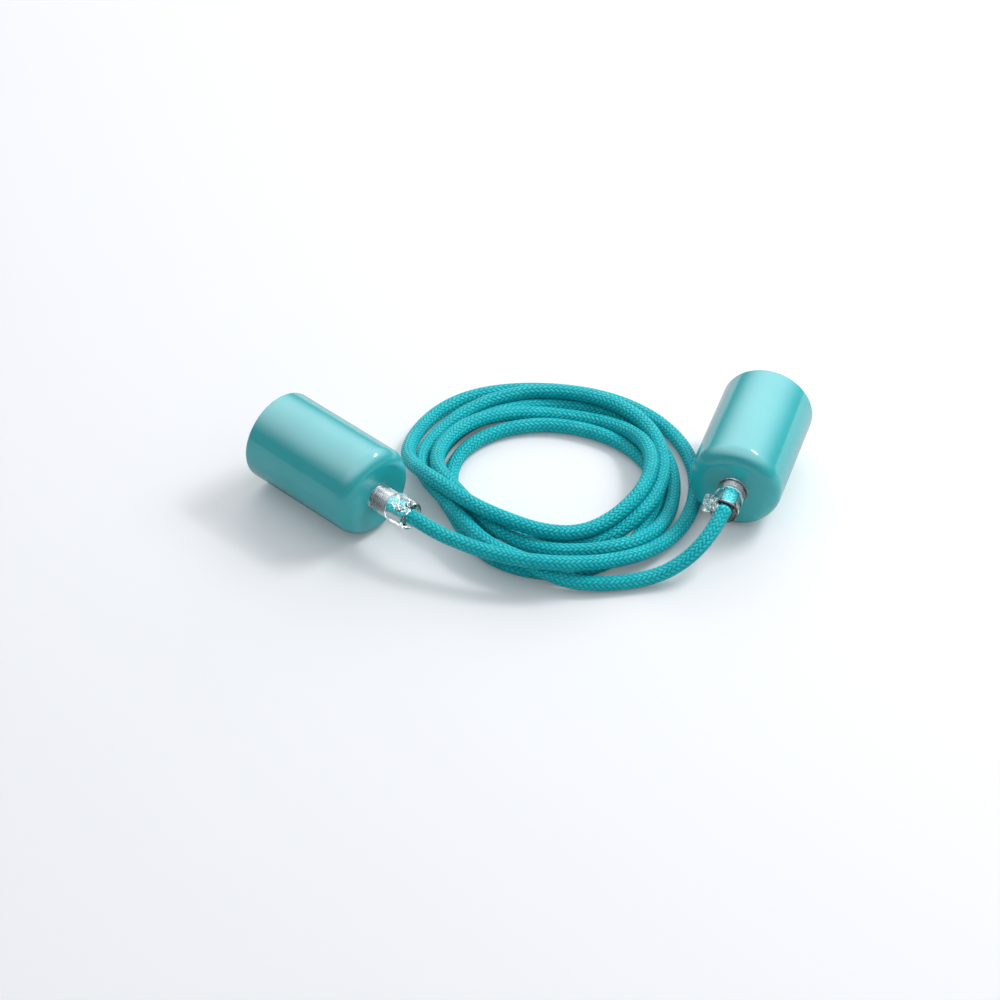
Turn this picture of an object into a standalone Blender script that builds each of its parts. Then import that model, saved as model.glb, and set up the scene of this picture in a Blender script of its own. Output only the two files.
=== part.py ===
"""A pendant light cord set, lying on its side: a ceiling cup, a cup over an E27 lampholder, and the
textile cord that is loosely coiled between them. Units are metres, +Z is up, the floor is z = 0."""

import math

import bmesh
import bpy
import numpy as np
from mathutils import Euler, Matrix, Vector

MM = 0.001
GAP = 0.3 * MM  # left between any two pieces that touch

# Cups: one drawing serves both ends, drawn round the lampholder
HOLDER_RADIUS = 19 * MM
HOLDER_CLEARANCE = 2 * MM
CUP_WALL = 1.0 * MM
CUP_RADIUS = HOLDER_RADIUS + HOLDER_CLEARANCE + CUP_WALL
CUP_LENGTH = 66 * MM
CUP_CORNER = 7 * MM
CUP_CORNER_POINTS = 7
CUP_SIDES = 50  # twice an odd number, so that the cup lies on a flat and not on an edge

# Cord grips: clear mouldings, M10 thread at the base, clamp screw in a boss near the mouth
GRIP_RADIUS = 6.75 * MM
GRIP_LENGTH = 21.5 * MM
GRIP_EDGE = 0.8 * MM
GRIP_THREAD_DEPTH = 9.5 * MM
BOSS_RADIUS = 4.0 * MM
BOSS_FROM_BASE = 17.3 * MM
BOSS_REACH = 7.6 * MM
GRIP_SIDES = 24

CLAMP_SHANK_RADIUS = 2.0 * MM
CLAMP_HEAD_RADIUS = 4.2 * MM
CLAMP_HEAD_HEIGHT = 2.2 * MM
CLAMP_SLOT_WIDTH = 1.0 * MM
CLAMP_SLOT_DEPTH = 1.0 * MM

# M10 nipples, nuts and washer
THREAD_RADIUS = 5.0 * MM
NIPPLE_BORE_RADIUS = 4.0 * MM
NIPPLE_IN_GRIP = 8.9 * MM
NIPPLE_PAST_NUT = 1.6 * MM
NUT_ACROSS_FLATS = 14 * MM
NUT_HEIGHT = 3.6 * MM
WASHER_RADIUS = 8.4 * MM
WASHER_THICK = 0.8 * MM
SMALL_SIDES = 20
BORE_SIDES = 12
SCREW_SIDES = 10

# Terminal block of the ceiling end: three poles side by side, two screws on each
POLES = 3
POLE_PITCH = 8 * MM
BLOCK_LENGTH = 17 * MM
BLOCK_BASE_HEIGHT = 6.4 * MM
BLOCK_RIDGE_HEIGHT = 5.6 * MM
BLOCK_RIDGE_WIDTH = 6.0 * MM
BLOCK_DEPTH_IN_CUP = 22 * MM
INSERT_RADIUS = 2.1 * MM
INSERT_LENGTH = 15 * MM
INSERT_ABOVE_BASE = 3.4 * MM
TERMINAL_SCREW_RADIUS = 1.2 * MM
TERMINAL_SCREW_SPACING = 8 * MM
CORE_RADIUS = 1.15 * MM
CORE_CIRCLE = 1.6 * MM
CORE_BARE_END = 5 * MM
CORE_STRAIGHT = 3 * MM
CORE_SPACING = 3 * MM
CEILING_FIRST_CORE_TURN = 150

# Lampholder in the socket cup
GRIP_LET_IN = 5.5 * MM
COLLAR_RADIUS = 10.5 * MM
CAP_FLOOR_THICK = 3.2 * MM
HOLDER_WALL = 2.0 * MM
CAP_LENGTH = 26 * MM
CAP_FLARE_START = 5.5 * MM
CAP_FLARE_END = 13 * MM
CAP_EDGE = 1.3 * MM
NUT_ROOM = 2.2 * MM
SKIRT_LENGTH = 34 * MM
SPIGOT_LENGTH = 9 * MM
SPIGOT_WALL = 1.4 * MM
SLEEVE_WALL = 1.5 * MM
SHOULDER_DEPTH = 1.2 * MM
WEB_THICK = 2 * MM
SLEEVE_LENGTH = 23.5 * MM
WIRE_ROOM = 5.1 * MM  # between the nipple and the core that carries the terminals
TAG_THICK = 0.6 * MM
TAG_WIDTH = 3 * MM
TAG_REACH = 9.6 * MM
TERMINAL_WIDTH = 6 * MM
TERMINAL_HEIGHT = 5 * MM
TERMINAL_FROM_AXIS = 10 * MM
TERMINAL_SCREW_PROUD = 1 * MM
CORE_BEFORE_TERMINAL = 1 * MM
CORE_IN_TERMINAL = 1.5 * MM
SOCKET_CORE_TURNS = {"live": 210, "neutral": 330, "earth": 90}
EARTH_PAST_NUT = 1.38 * MM
# The earth core's loop: share of the way out past the nut, and height from the nipple's low end
# in core radii
EARTH_LOOP = ((0.25, -1), (0.56, -2.2), (0.9, -1), (1, 2))
EARTH_BEND_IN_NIPPLE = 1.5
HOLDER_SIDES = 32

# E27 screw shell: pitch and radii of the cap thread
E27_PITCH = 3.63 * MM
E27_ROOT_RADIUS = 13.65 * MM
E27_CREST_RADIUS = 12.75 * MM
E27_TURNS = 5
SHELL_WALL = 0.35 * MM
SHELL_LIP = 2.2 * MM
SPRING_WIDTH = 5 * MM
SPRING_THICK = 0.5 * MM
SPRING_DROP = 5 * MM
SPRING_LEG = 7 * MM
SPRING_SLOPE_START = 3 * MM
SPRING_SLOPE_END = -1 * MM
SPRING_TIP = -4 * MM
SPRING_SKEW = 0.3 * MM  # how far the slope's upper face lies behind its lower one

# Cord: textile braid over three cores
CORD_RADIUS = 3.5 * MM
CORD_SPACING = 2 * 2 * CORD_RADIUS
SHEATH_IN_NIPPLE = 4 * MM

# Where the two ends lie: middle of each closed end, and the way each cord grip points
CEILING_END_AT = (-53.5, -50.8)
CEILING_END_TURN = 63.8
SOCKET_END_AT = (100.5, 2.2)
SOCKET_END_TURN = 0.0
CEILING_BOSS_TURN = 108.0  # about the grip's axis, 90 is straight up
SOCKET_BOSS_TURN = 180.0

# The coil: reach of the cord's middle from the coil's middle, and its height, every 30 degrees,
# in millimetres. The first value of a turn is at 270 degrees, on the side of the left lead.
# These two tables were resampled by a scratch script from a route traced by eye in the photograph,
# and rounded to half a millimetre. scene.py works its turns out from a few chosen values instead.
COIL_MIDDLE = (12.5, 4.0)
COIL_FIRST_DIRECTION = -90
COIL_STEP = 30
TURN_REACH = (
    (72, 71, 69, 68.5, 68, 67.5, 70, 75.5, 78, 71, 63, 55),
    (50.5, 50, 48.5, 48, 46.5, 46.5, 52, 56.5, 56.5, 55, 49, 47),
    (50.5, 56.5, 61, 57.5, 57, 59.5, 61, 63, 61, 57.5, 51, 53),
    (66, 64.5, 54, 50, 49, 46, 43.5, 44.5, 45, 47.5, 48.5, 48.5),
    (46, 47.5, 53, 52.5, 52.5, 54, 61, 65.5, 66, 61.5, 54, 52),
    (59.5,),
)
TURN_HEIGHT = (
    (17, 14.5, 9.5, 3.5, 3.5, 3.5, 3.5, 3.5, 3.5, 5, 11, 11),
    (10.5, 10.5, 12, 13.5, 11.5, 9.5, 4.5, 3.5, 4, 3.5, 3.5, 3.5),
    (3.5, 6, 10, 4.5, 3.5, 3.5, 3.5, 3.5, 3.5, 3.5, 3.5, 3.5),
    (8.5, 7, 3.5, 3.5, 3.5, 3.5, 3.5, 3.5, 3.5, 3.5, 3.5, 3.5),
    (3.5, 4.5, 10, 9.5, 9.5, 9.5, 7.5, 7, 7, 5, 3.5, 3.5),
    (3.5,),
)
COIL_SECTIONS = 36
COIL_TOP_POINTS = 6
COIL_LINE_SPACING = 4 * MM
COIL_RIM_STEP = 30

# The cord's way from each grip to the coil, in millimetres, after its straight run out of the grip
LEFT_LEAD = ((-21.5, -65, 20.5), (-13, -66.3, 19), (-4, -67.5, 18), (4, -68.2, 17.3), (9, -68.2, 17))
RIGHT_LEAD = (
    (99.5, -25, 18.7),
    (97, -30.5, 15.5),
    (93, -36, 12),
    (87, -41, 8.5),
    (80, -45.4, 5.8),
    (72, -49.5, 4.3),
    (62, -53.6, 3.7),
    (50, -57, 3.5),
    (40, -58, 3.5),
)
LEAD_STRAIGHT = 6 * MM

scene = bpy.context.scene
for old in list(bpy.data.objects):
    bpy.data.objects.remove(old, do_unlink=True)
parts = bpy.data.collections.new("pendant_cord_set")
cutters = bpy.data.collections.new("cutters")
scene.collection.children.link(parts)
scene.collection.children.link(cutters)
cutters.hide_render = True


def finish(name, colour, roughness, metallic=0.0, clear=0.0):
    """One Principled material."""
    made = bpy.data.materials.new(name)
    made.use_nodes = True
    shader = made.node_tree.nodes["Principled BSDF"]
    shader.inputs["Base Color"].default_value = (*colour, 1)
    shader.inputs["Roughness"].default_value = roughness
    shader.inputs["Metallic"].default_value = metallic
    shader.inputs["Transmission Weight"].default_value = clear
    made.diffuse_color = (*colour, 1)
    return made


ENAMEL = ((0.38, 0.74, 0.74), 0.12)
CLEAR = ((0.9, 0.95, 0.93), 0.08, 0.0, 0.9)
ZINC = ((0.62, 0.63, 0.64), 0.35, 1.0)
BRASS = ((0.78, 0.6, 0.28), 0.3, 1.0)
WHITE_PLASTIC = ((0.85, 0.85, 0.83), 0.4)
TEXTILE = ((0.0, 0.48, 0.52), 0.8)
CORE_COLOURS = {"live": (0.2, 0.08, 0.03), "neutral": (0.02, 0.12, 0.5), "earth": (0.25, 0.5, 0.05)}


def end_frame(name, at, turn):
    """An empty at the middle of a cup's closed end: its +Z points out along the grip, its +Y is up."""
    frame = bpy.data.objects.new(name, None)
    frame.location = (at[0] * MM, at[1] * MM, CUP_RADIUS * math.cos(math.pi / CUP_SIDES))
    frame.rotation_euler = Euler((math.radians(90), 0, math.radians(turn)))
    parts.objects.link(frame)
    return frame


def add(name, mesh, end, look=None):
    """A mesh as a named object under one end's empty, or on the floor where end is None."""
    made = bpy.data.objects.new(name, mesh)
    made.parent = end
    if look:
        mesh.materials.append(finish(name, *look))
        parts.objects.link(made)
    else:
        made.hide_render = True
        made.display_type = "WIRE"
        cutters.objects.link(made)
    return made


def turned(name, profile, end, look=None, sides=SMALL_SIDES):
    """A profile of (radius, height) turned about the end's axis. It runs down its outer side."""
    edges = [(i, (i + 1) % len(profile)) for i in range(len(profile))]
    mesh = bpy.data.meshes.new(name)
    mesh.from_pydata([(radius, 0, height) for radius, height in profile], edges, [])
    made = add(name, mesh, end, look)
    screw = made.modifiers.new("turn", "SCREW")
    screw.axis = "Z"
    screw.steps = sides
    screw.render_steps = sides
    screw.use_smooth_shade = True
    screw.use_merge_vertices = True
    screw.merge_threshold = 0.01 * MM
    return made


def arc(middle, radius, first, last, count):
    """Points of an arc in a profile, angles in degrees."""
    angles = np.radians(np.linspace(first, last, count))
    return [(middle[0] + radius * math.cos(a), middle[1] + radius * math.sin(a)) for a in angles]


def rod(name, radius, length, matrix, end, look=None, sides=SMALL_SIDES):
    """A cylinder whose base is at the matrix's origin and which runs along its +Z."""
    mesh = bpy.data.meshes.new(name)
    shape = bmesh.new()
    bmesh.ops.create_cone(
        shape, cap_ends=True, segments=sides, radius1=radius, radius2=radius, depth=length
    )
    bmesh.ops.translate(shape, verts=shape.verts, vec=(0, 0, length / 2))
    bmesh.ops.transform(shape, verts=shape.verts, matrix=matrix)
    shape.to_mesh(mesh)
    shape.free()
    return add(name, mesh, end, look)


def block(name, low, high, end, look=None, matrix=None):
    """A box from its low corner to its high corner."""
    mesh = bpy.data.meshes.new(name)
    shape = bmesh.new()
    bmesh.ops.create_cube(shape, size=1)
    low, high = Vector(low), Vector(high)
    bmesh.ops.scale(shape, verts=shape.verts, vec=high - low)
    bmesh.ops.translate(shape, verts=shape.verts, vec=(low + high) / 2)
    if matrix:
        bmesh.ops.transform(shape, verts=shape.verts, matrix=matrix)
    shape.to_mesh(mesh)
    shape.free()
    return add(name, mesh, end, look)


def boolean(body, tool, operation):
    """Cuts the tool from the body, or joins it on."""
    step = body.modifiers.new(tool.name, "BOOLEAN")
    step.operation = operation
    step.solver = "EXACT"
    step.object = tool


def smooth_points(points, spacing):
    """Points at an even spacing on the natural cubic curve through the given points."""
    points = np.array(points, float)
    along = np.concatenate([[0], np.cumsum(np.linalg.norm(np.diff(points, axis=0), axis=1))])
    step = np.diff(along)
    count = len(points)
    matrix = np.eye(count)
    right = np.zeros((count, points.shape[1]))
    for i in range(1, count - 1):
        matrix[i, i - 1 : i + 2] = step[i - 1], 2 * (step[i - 1] + step[i]), step[i]
        rise = (points[i + 1] - points[i]) / step[i] - (points[i] - points[i - 1]) / step[i - 1]
        right[i] = 6 * rise
    bend = np.linalg.solve(matrix, right)
    wanted = np.linspace(0, along[-1], max(2, round(along[-1] / spacing) + 1))
    i = np.clip(np.searchsorted(along, wanted) - 1, 0, count - 2)
    h = step[i][:, None]
    before = (along[i + 1] - wanted)[:, None]
    after = (wanted - along[i])[:, None]
    curve = bend[i] * before**3 / (6 * h) + bend[i + 1] * after**3 / (6 * h)
    curve += (points[i] / h - bend[i] * h / 6) * before
    return curve + (points[i + 1] / h - bend[i + 1] * h / 6) * after


def tube(name, points, radius, end=None, look=None, resolution=2):
    """A round solid along the points, made a mesh with its end caps welded."""
    curve = bpy.data.curves.new(name + "_line", "CURVE")
    curve.dimensions = "3D"
    curve.bevel_depth = radius
    curve.bevel_resolution = resolution
    curve.use_fill_caps = True
    line = curve.splines.new("POLY")
    line.points.add(len(points) - 1)
    for point, place in zip(line.points, points):
        point.co = (*place, 1)
    guide = bpy.data.objects.new(name + "_line", curve)
    cutters.objects.link(guide)
    bpy.context.view_layer.update()
    mesh = bpy.data.meshes.new_from_object(guide.evaluated_get(bpy.context.evaluated_depsgraph_get()))
    bpy.data.objects.remove(guide)
    shape = bmesh.new()
    shape.from_mesh(mesh)
    bmesh.ops.remove_doubles(shape, verts=shape.verts, dist=0.001 * MM)
    bmesh.ops.recalc_face_normals(shape, faces=shape.faces)
    shape.to_mesh(mesh)
    shape.free()
    mesh.name = name
    mesh.shade_smooth()
    return add(name, mesh, end, look)


def across(height, turn):
    """A frame at this height on an end's axis, its +Z pointing out of the axis at this turn."""
    return (
        Matrix.Translation((0, 0, height))
        @ Matrix.Rotation(math.radians(turn), 4, "Z")
        @ Matrix.Rotation(math.radians(90), 4, "Y")
    )


def cup(name, end, hole_radius):
    """A drawn cup: closed end at height 0, open rim at -CUP_LENGTH."""
    inside = CUP_RADIUS - CUP_WALL
    corner = (CUP_RADIUS - CUP_CORNER, -CUP_CORNER)
    profile = [(hole_radius, 0)]
    profile += arc(corner, CUP_CORNER, 90, 0, CUP_CORNER_POINTS)
    profile += [(CUP_RADIUS, -CUP_LENGTH), (inside, -CUP_LENGTH)]
    profile += arc(corner, CUP_CORNER - CUP_WALL, 0, 90, CUP_CORNER_POINTS)
    profile += [(hole_radius, -CUP_WALL)]
    return turned(name, profile, end, ENAMEL, CUP_SIDES)


def grip(name, end, base, boss_turn):
    """A clear moulding: threaded socket at its base, cord bore at its mouth, boss on its side."""
    top = base + GRIP_LENGTH
    step = base + GRIP_THREAD_DEPTH
    bore = CORD_RADIUS + GAP
    profile = [
        (bore, top),
        (GRIP_RADIUS - GRIP_EDGE, top),
        (GRIP_RADIUS, top - GRIP_EDGE),
        (GRIP_RADIUS, base),
        (THREAD_RADIUS + GAP, base),
        (THREAD_RADIUS + GAP, step),
        (bore, step),
    ]
    body = turned(name, profile, end, CLEAR, GRIP_SIDES)
    frame = across(base + BOSS_FROM_BASE, boss_turn)
    start = Matrix.Translation((0, 0, bore + GAP))
    boss = rod(name + "_boss", BOSS_RADIUS, BOSS_REACH - bore - GAP, frame @ start, end)
    hole = rod(name + "_hole", CLAMP_SHANK_RADIUS + GAP, 2 * BOSS_REACH, frame, end, sides=BORE_SIDES)
    boolean(body, boss, "UNION")
    boolean(body, hole, "DIFFERENCE")
    return body


def clamp_screw(name, end, base, boss_turn):
    """The grip's screw: its tip on the cord, its head on the boss."""
    tip = CORD_RADIUS + GAP
    seat = BOSS_REACH + GAP
    top = seat + CLAMP_HEAD_HEIGHT
    frame = across(base + BOSS_FROM_BASE, boss_turn)
    head_at = frame @ Matrix.Translation((0, 0, seat))
    head = rod(name, CLAMP_HEAD_RADIUS, CLAMP_HEAD_HEIGHT, head_at, end, CLEAR)
    shank = rod(
        name + "_shank",
        CLAMP_SHANK_RADIUS,
        seat + CLAMP_HEAD_HEIGHT / 2 - tip,
        frame @ Matrix.Translation((0, 0, tip)),
        end,
        sides=BORE_SIDES,
    )
    reach = CLAMP_HEAD_RADIUS + GAP
    slot = block(
        name + "_slot",
        (-CLAMP_SLOT_WIDTH / 2, -reach, top - CLAMP_SLOT_DEPTH),
        (CLAMP_SLOT_WIDTH / 2, reach, top + GAP),
        end,
        matrix=frame,
    )
    boolean(head, shank, "UNION")
    boolean(head, slot, "DIFFERENCE")
    return head


def ring(name, inner, outer, top, thick, end, look, sides=SMALL_SIDES):
    """A flat ring or a short tube, its upper face at this height."""
    low = top - thick
    return turned(name, [(inner, top), (outer, top), (outer, low), (inner, low)], end, look, sides)


def nut(name, end, top):
    """A hexagon nut with a round hole, its upper face at this height."""
    corner = NUT_ACROSS_FLATS / 2 / math.cos(math.pi / 6)
    frame = Matrix.Translation((0, 0, top - NUT_HEIGHT))
    made = rod(name, corner, NUT_HEIGHT, frame, end, ZINC, sides=6)
    below = Matrix.Translation((0, 0, top - NUT_HEIGHT - GAP))
    hole = rod(name + "_hole", THREAD_RADIUS + GAP, NUT_HEIGHT + 2 * GAP, below, end)
    boolean(made, hole, "DIFFERENCE")
    return made


def core_start(turn, height):
    """Where a core leaves the cut end of the sheath."""
    angle = math.radians(turn)
    return (CORE_CIRCLE * math.cos(angle), CORE_CIRCLE * math.sin(angle), height)


def core(name, kind, points, end):
    """An insulated core through these points."""
    return tube(name, smooth_points(points, CORE_SPACING), CORE_RADIUS, end, (CORE_COLOURS[kind], 0.4), 1)


def terminal_screw(name, end, place, length, look=BRASS):
    """A slotless grub screw that stands along the end's +Y, its tip at this place."""
    frame = Matrix.Translation(place) @ Matrix.Rotation(math.radians(-90), 4, "X")
    return rod(name, TERMINAL_SCREW_RADIUS, length, frame, end, look, SCREW_SIDES)


def ceiling_end():
    """The ceiling cup and what is in it."""
    end = end_frame("ceiling_end", CEILING_END_AT, CEILING_END_TURN)
    base = GAP
    cup("ceiling_cup", end, THREAD_RADIUS + GAP)
    grip("ceiling_cord_grip", end, base, CEILING_BOSS_TURN)
    clamp_screw("ceiling_grip_screw", end, base, CEILING_BOSS_TURN)
    washer_top = -CUP_WALL - GAP
    nut_top = washer_top - WASHER_THICK - GAP
    nipple_low = nut_top - NUT_HEIGHT - NIPPLE_PAST_NUT
    nipple_top = base + NIPPLE_IN_GRIP
    ring("ceiling_lock_washer", THREAD_RADIUS + GAP, WASHER_RADIUS, washer_top, WASHER_THICK, end, ZINC)
    nut("ceiling_lock_nut", end, nut_top)
    ring(
        "ceiling_nipple", NIPPLE_BORE_RADIUS, THREAD_RADIUS, nipple_top, nipple_top - nipple_low, end, ZINC
    )
    terminal_block(end, -SHEATH_IN_NIPPLE - GAP, nipple_low)
    return end


def terminal_block(end, sheath_cut, nipple_low):
    """A three pole block lying on the inside of the cup, with its inserts, screws and cores."""
    half = POLES * POLE_PITCH / 2
    inner_flat = (CUP_RADIUS - CUP_WALL) * math.cos(math.pi / CUP_SIDES)
    floor = -math.sqrt(inner_flat**2 - half**2) + GAP
    top = floor + BLOCK_BASE_HEIGHT + BLOCK_RIDGE_HEIGHT
    near = -BLOCK_DEPTH_IN_CUP
    far = near - BLOCK_LENGTH
    middle = (near + far) / 2
    hole_height = floor + INSERT_ABOVE_BASE
    body = block(
        "terminal_block", (-half, floor, far), (half, floor + BLOCK_BASE_HEIGHT, near), end, WHITE_PLASTIC
    )
    kinds = list(CORE_COLOURS)
    for pole in range(POLES):
        x = (pole - (POLES - 1) / 2) * POLE_PITCH
        side = BLOCK_RIDGE_WIDTH / 2
        ridge = block(f"ridge_{pole}", (x - side, floor + GAP, far), (x + side, top, near), end)
        boolean(body, ridge, "UNION")
        low_end = Matrix.Translation((x, hole_height, far - GAP))
        bore = rod(
            f"bore_{pole}", INSERT_RADIUS + GAP, BLOCK_LENGTH + 2 * GAP, low_end, end, sides=BORE_SIDES
        )
        boolean(body, bore, "DIFFERENCE")
        start = Matrix.Translation((x, hole_height, middle - INSERT_LENGTH / 2))
        insert_name = f"terminal_insert_{kinds[pole]}"
        insert = rod(insert_name, INSERT_RADIUS, INSERT_LENGTH, start, end, BRASS, BORE_SIDES)
        way_in = Matrix.Translation((x, hole_height, middle - INSERT_LENGTH / 2 - GAP))
        way_length = INSERT_LENGTH + 2 * GAP
        inner = rod(f"insert_bore_{pole}", CORE_RADIUS + GAP, way_length, way_in, end, sides=SCREW_SIDES)
        boolean(insert, inner, "DIFFERENCE")
        for row in range(2):
            z = middle + (row - 0.5) * TERMINAL_SCREW_SPACING
            tip = hole_height + CORE_RADIUS + GAP
            length = top - tip - 2 * GAP
            terminal_screw(f"terminal_screw_{kinds[pole]}_{row + 1}", end, (x, tip, z), length)
            frame = Matrix.Translation((x, hole_height, z)) @ Matrix.Rotation(math.radians(-90), 4, "X")
            reach = top - hole_height + GAP
            well_radius = TERMINAL_SCREW_RADIUS + GAP
            well = rod(f"well_{pole}_{row}", well_radius, reach, frame, end, sides=BORE_SIDES)
            boolean(body, well, "DIFFERENCE")
            boolean(insert, well, "DIFFERENCE")
        start = core_start(CEILING_FIRST_CORE_TURN + 360 / POLES * pole, sheath_cut)
        entry = middle + INSERT_LENGTH / 2
        points = [
            start,
            (start[0], start[1], nipple_low),
            ((start[0] + x) / 2, (start[1] + hole_height) / 2, (nipple_low + entry) / 2),
            (x, hole_height, entry + CORE_STRAIGHT),
            (x, hole_height, entry),
            (x, hole_height, entry - CORE_BARE_END),
        ]
        core(f"ceiling_core_{kinds[pole]}", kinds[pole], points, end)


def socket_end():
    """The socket cup and the E27 lampholder in it."""
    end = end_frame("socket_end", SOCKET_END_AT, SOCKET_END_TURN)
    base = -GRIP_LET_IN
    cup("socket_cup", end, GRIP_RADIUS + GAP)
    grip("socket_cord_grip", end, base, SOCKET_BOSS_TURN)
    clamp_screw("socket_grip_screw", end, base, SOCKET_BOSS_TURN)
    cap_top = -CUP_WALL - GAP
    recess_floor = base - GAP
    floor_low = recess_floor - CAP_FLOOR_THICK
    cap_low = -CAP_LENGTH - GAP
    lampholder_cap(end, cap_top, recess_floor, floor_low, cap_low)
    tag_top = floor_low - GAP
    earth_tag(end, tag_top)
    nut_top = tag_top - TAG_THICK - GAP
    nut("socket_lock_nut", end, nut_top)
    nipple_top = base + NIPPLE_IN_GRIP
    nipple_low = nut_top - NUT_HEIGHT - NIPPLE_PAST_NUT
    ring(
        "socket_nipple", NIPPLE_BORE_RADIUS, THREAD_RADIUS, nipple_top, nipple_top - nipple_low, end, ZINC
    )
    shoulder = lampholder_skirt(end, cap_low)
    disc_low = shoulder + GAP
    disc_top = nipple_low - WIRE_ROOM
    disc_radius = HOLDER_RADIUS - HOLDER_WALL - GAP - SPIGOT_WALL - GAP
    rod(
        "lampholder_core",
        disc_radius,
        disc_top - disc_low,
        Matrix.Translation((0, 0, disc_low)),
        end,
        WHITE_PLASTIC,
        HOLDER_SIDES,
    )
    screw_shell(end, shoulder)
    centre_contact(end, disc_low - GAP)
    socket_wiring(end, disc_top, -SHEATH_IN_NIPPLE - GRIP_LET_IN - GAP, nipple_low, tag_top)
    return end


def lampholder_cap(end, cap_top, recess_floor, floor_low, cap_low):
    """The domed cap: a collar that the cup rests on, a recess for the grip, and a skirt."""
    wall_in = HOLDER_RADIUS - HOLDER_WALL
    recess = GRIP_RADIUS + GAP
    room = NUT_ACROSS_FLATS / 2 / math.cos(math.pi / 6) + NUT_ROOM
    profile = [
        (recess, cap_top),
        (COLLAR_RADIUS, cap_top),
        (COLLAR_RADIUS, -CAP_FLARE_START),
        (HOLDER_RADIUS - CAP_EDGE, CAP_EDGE - CAP_FLARE_END),
        (HOLDER_RADIUS, -CAP_FLARE_END),
        (HOLDER_RADIUS, cap_low),
        (wall_in, cap_low),
        (wall_in, -CAP_FLARE_END - HOLDER_WALL),
        (room, floor_low),
        (THREAD_RADIUS + GAP, floor_low),
        (THREAD_RADIUS + GAP, recess_floor),
        (recess, recess_floor),
    ]
    return turned("lampholder_cap", profile, end, WHITE_PLASTIC, HOLDER_SIDES)


def earth_tag(end, top):
    """A ring tag with a tail for the earth core, clamped under the nut."""
    low = top - TAG_THICK
    tag = rod("earth_tag", WASHER_RADIUS, TAG_THICK, Matrix.Translation((0, 0, low)), end, BRASS)
    half = TAG_WIDTH / 2
    tail_low = (-half, (THREAD_RADIUS + WASHER_RADIUS) / 2, low)
    tail = block("earth_tag_tail", tail_low, (half, TAG_REACH, top), end)
    boolean(tag, tail, "UNION")
    hole_start = Matrix.Translation((0, 0, low - GAP))
    hole = rod("earth_tag_hole", THREAD_RADIUS + GAP, TAG_THICK + 2 * GAP, hole_start, end)
    boolean(tag, hole, "DIFFERENCE")
    return tag


def lampholder_skirt(end, cap_low):
    """The skirt: a spigot up into the cap, the outer wall, and a sleeve round the screw shell.
    It gives back the height of the shoulder that the core sits on."""
    top = cap_low - GAP
    low = top - SKIRT_LENGTH
    spigot_out = HOLDER_RADIUS - HOLDER_WALL - GAP
    spigot_in = spigot_out - SPIGOT_WALL
    sleeve_in = E27_ROOT_RADIUS + SHELL_WALL + GAP
    sleeve_out = sleeve_in + SLEEVE_WALL
    shoulder = top - SHOULDER_DEPTH
    web = shoulder - WEB_THICK
    profile = [
        (spigot_in, top + SPIGOT_LENGTH),
        (spigot_out, top + SPIGOT_LENGTH),
        (spigot_out, top),
        (HOLDER_RADIUS, top),
        (HOLDER_RADIUS, low),
        (HOLDER_RADIUS - HOLDER_WALL, low),
        (HOLDER_RADIUS - HOLDER_WALL, web),
        (sleeve_out, web),
        (sleeve_out, shoulder - SLEEVE_LENGTH),
        (sleeve_in, shoulder - SLEEVE_LENGTH),
        (sleeve_in, shoulder),
        (spigot_in, shoulder),
    ]
    turned("lampholder_skirt", profile, end, WHITE_PLASTIC, HOLDER_SIDES)
    return shoulder


def screw_shell(end, top):
    """The E27 shell, its thread as rings of the true pitch and depth, its lip under the core."""
    outer = [(E27_ROOT_RADIUS + SHELL_WALL, top)]
    inner = []
    first = top - SHELL_LIP
    for half_turn in range(2 * E27_TURNS + 1):
        z = first - half_turn * E27_PITCH / 2
        radius = E27_CREST_RADIUS if half_turn % 2 else E27_ROOT_RADIUS
        outer.append((radius + SHELL_WALL, z))
        inner.append((radius, z))
    inner += [(E27_ROOT_RADIUS, top - SHELL_WALL), (E27_ROOT_RADIUS - SHELL_LIP, top - SHELL_WALL)]
    inner_down = inner[: 2 * E27_TURNS + 1][::-1]
    profile = [(E27_ROOT_RADIUS - SHELL_LIP, top)] + outer + inner_down + inner[2 * E27_TURNS + 1 :]
    return turned("screw_shell", profile, end, BRASS, GRIP_SIDES)


def centre_contact(end, top):
    """A sprung strip: one leg on the core, the other bent down to the middle of the shell."""
    t = SPRING_THICK
    line = [
        (SPRING_LEG, top),
        (SPRING_LEG, top - t),
        (SPRING_SLOPE_START, top - t),
        (SPRING_SLOPE_END, top - SPRING_DROP - t),
        (SPRING_TIP, top - SPRING_DROP - t),
        (SPRING_TIP, top - SPRING_DROP),
        (SPRING_SLOPE_END - SPRING_SKEW, top - SPRING_DROP),
        (SPRING_SLOPE_START - SPRING_SKEW, top),
    ]
    curve = bpy.data.curves.new("centre_contact", "CURVE")
    curve.dimensions = "2D"
    curve.fill_mode = "BOTH"
    curve.extrude = SPRING_WIDTH / 2
    edge = curve.splines.new("POLY")
    edge.points.add(len(line) - 1)
    edge.use_cyclic_u = True
    for point, (x, z) in zip(edge.points, line):
        point.co = (x, z, 0, 1)
    made = bpy.data.objects.new("centre_contact", curve)
    made.parent = end
    made.rotation_euler = (math.radians(90), 0, 0)
    curve.materials.append(finish("centre_contact", *BRASS))
    parts.objects.link(made)
    return made


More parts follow.
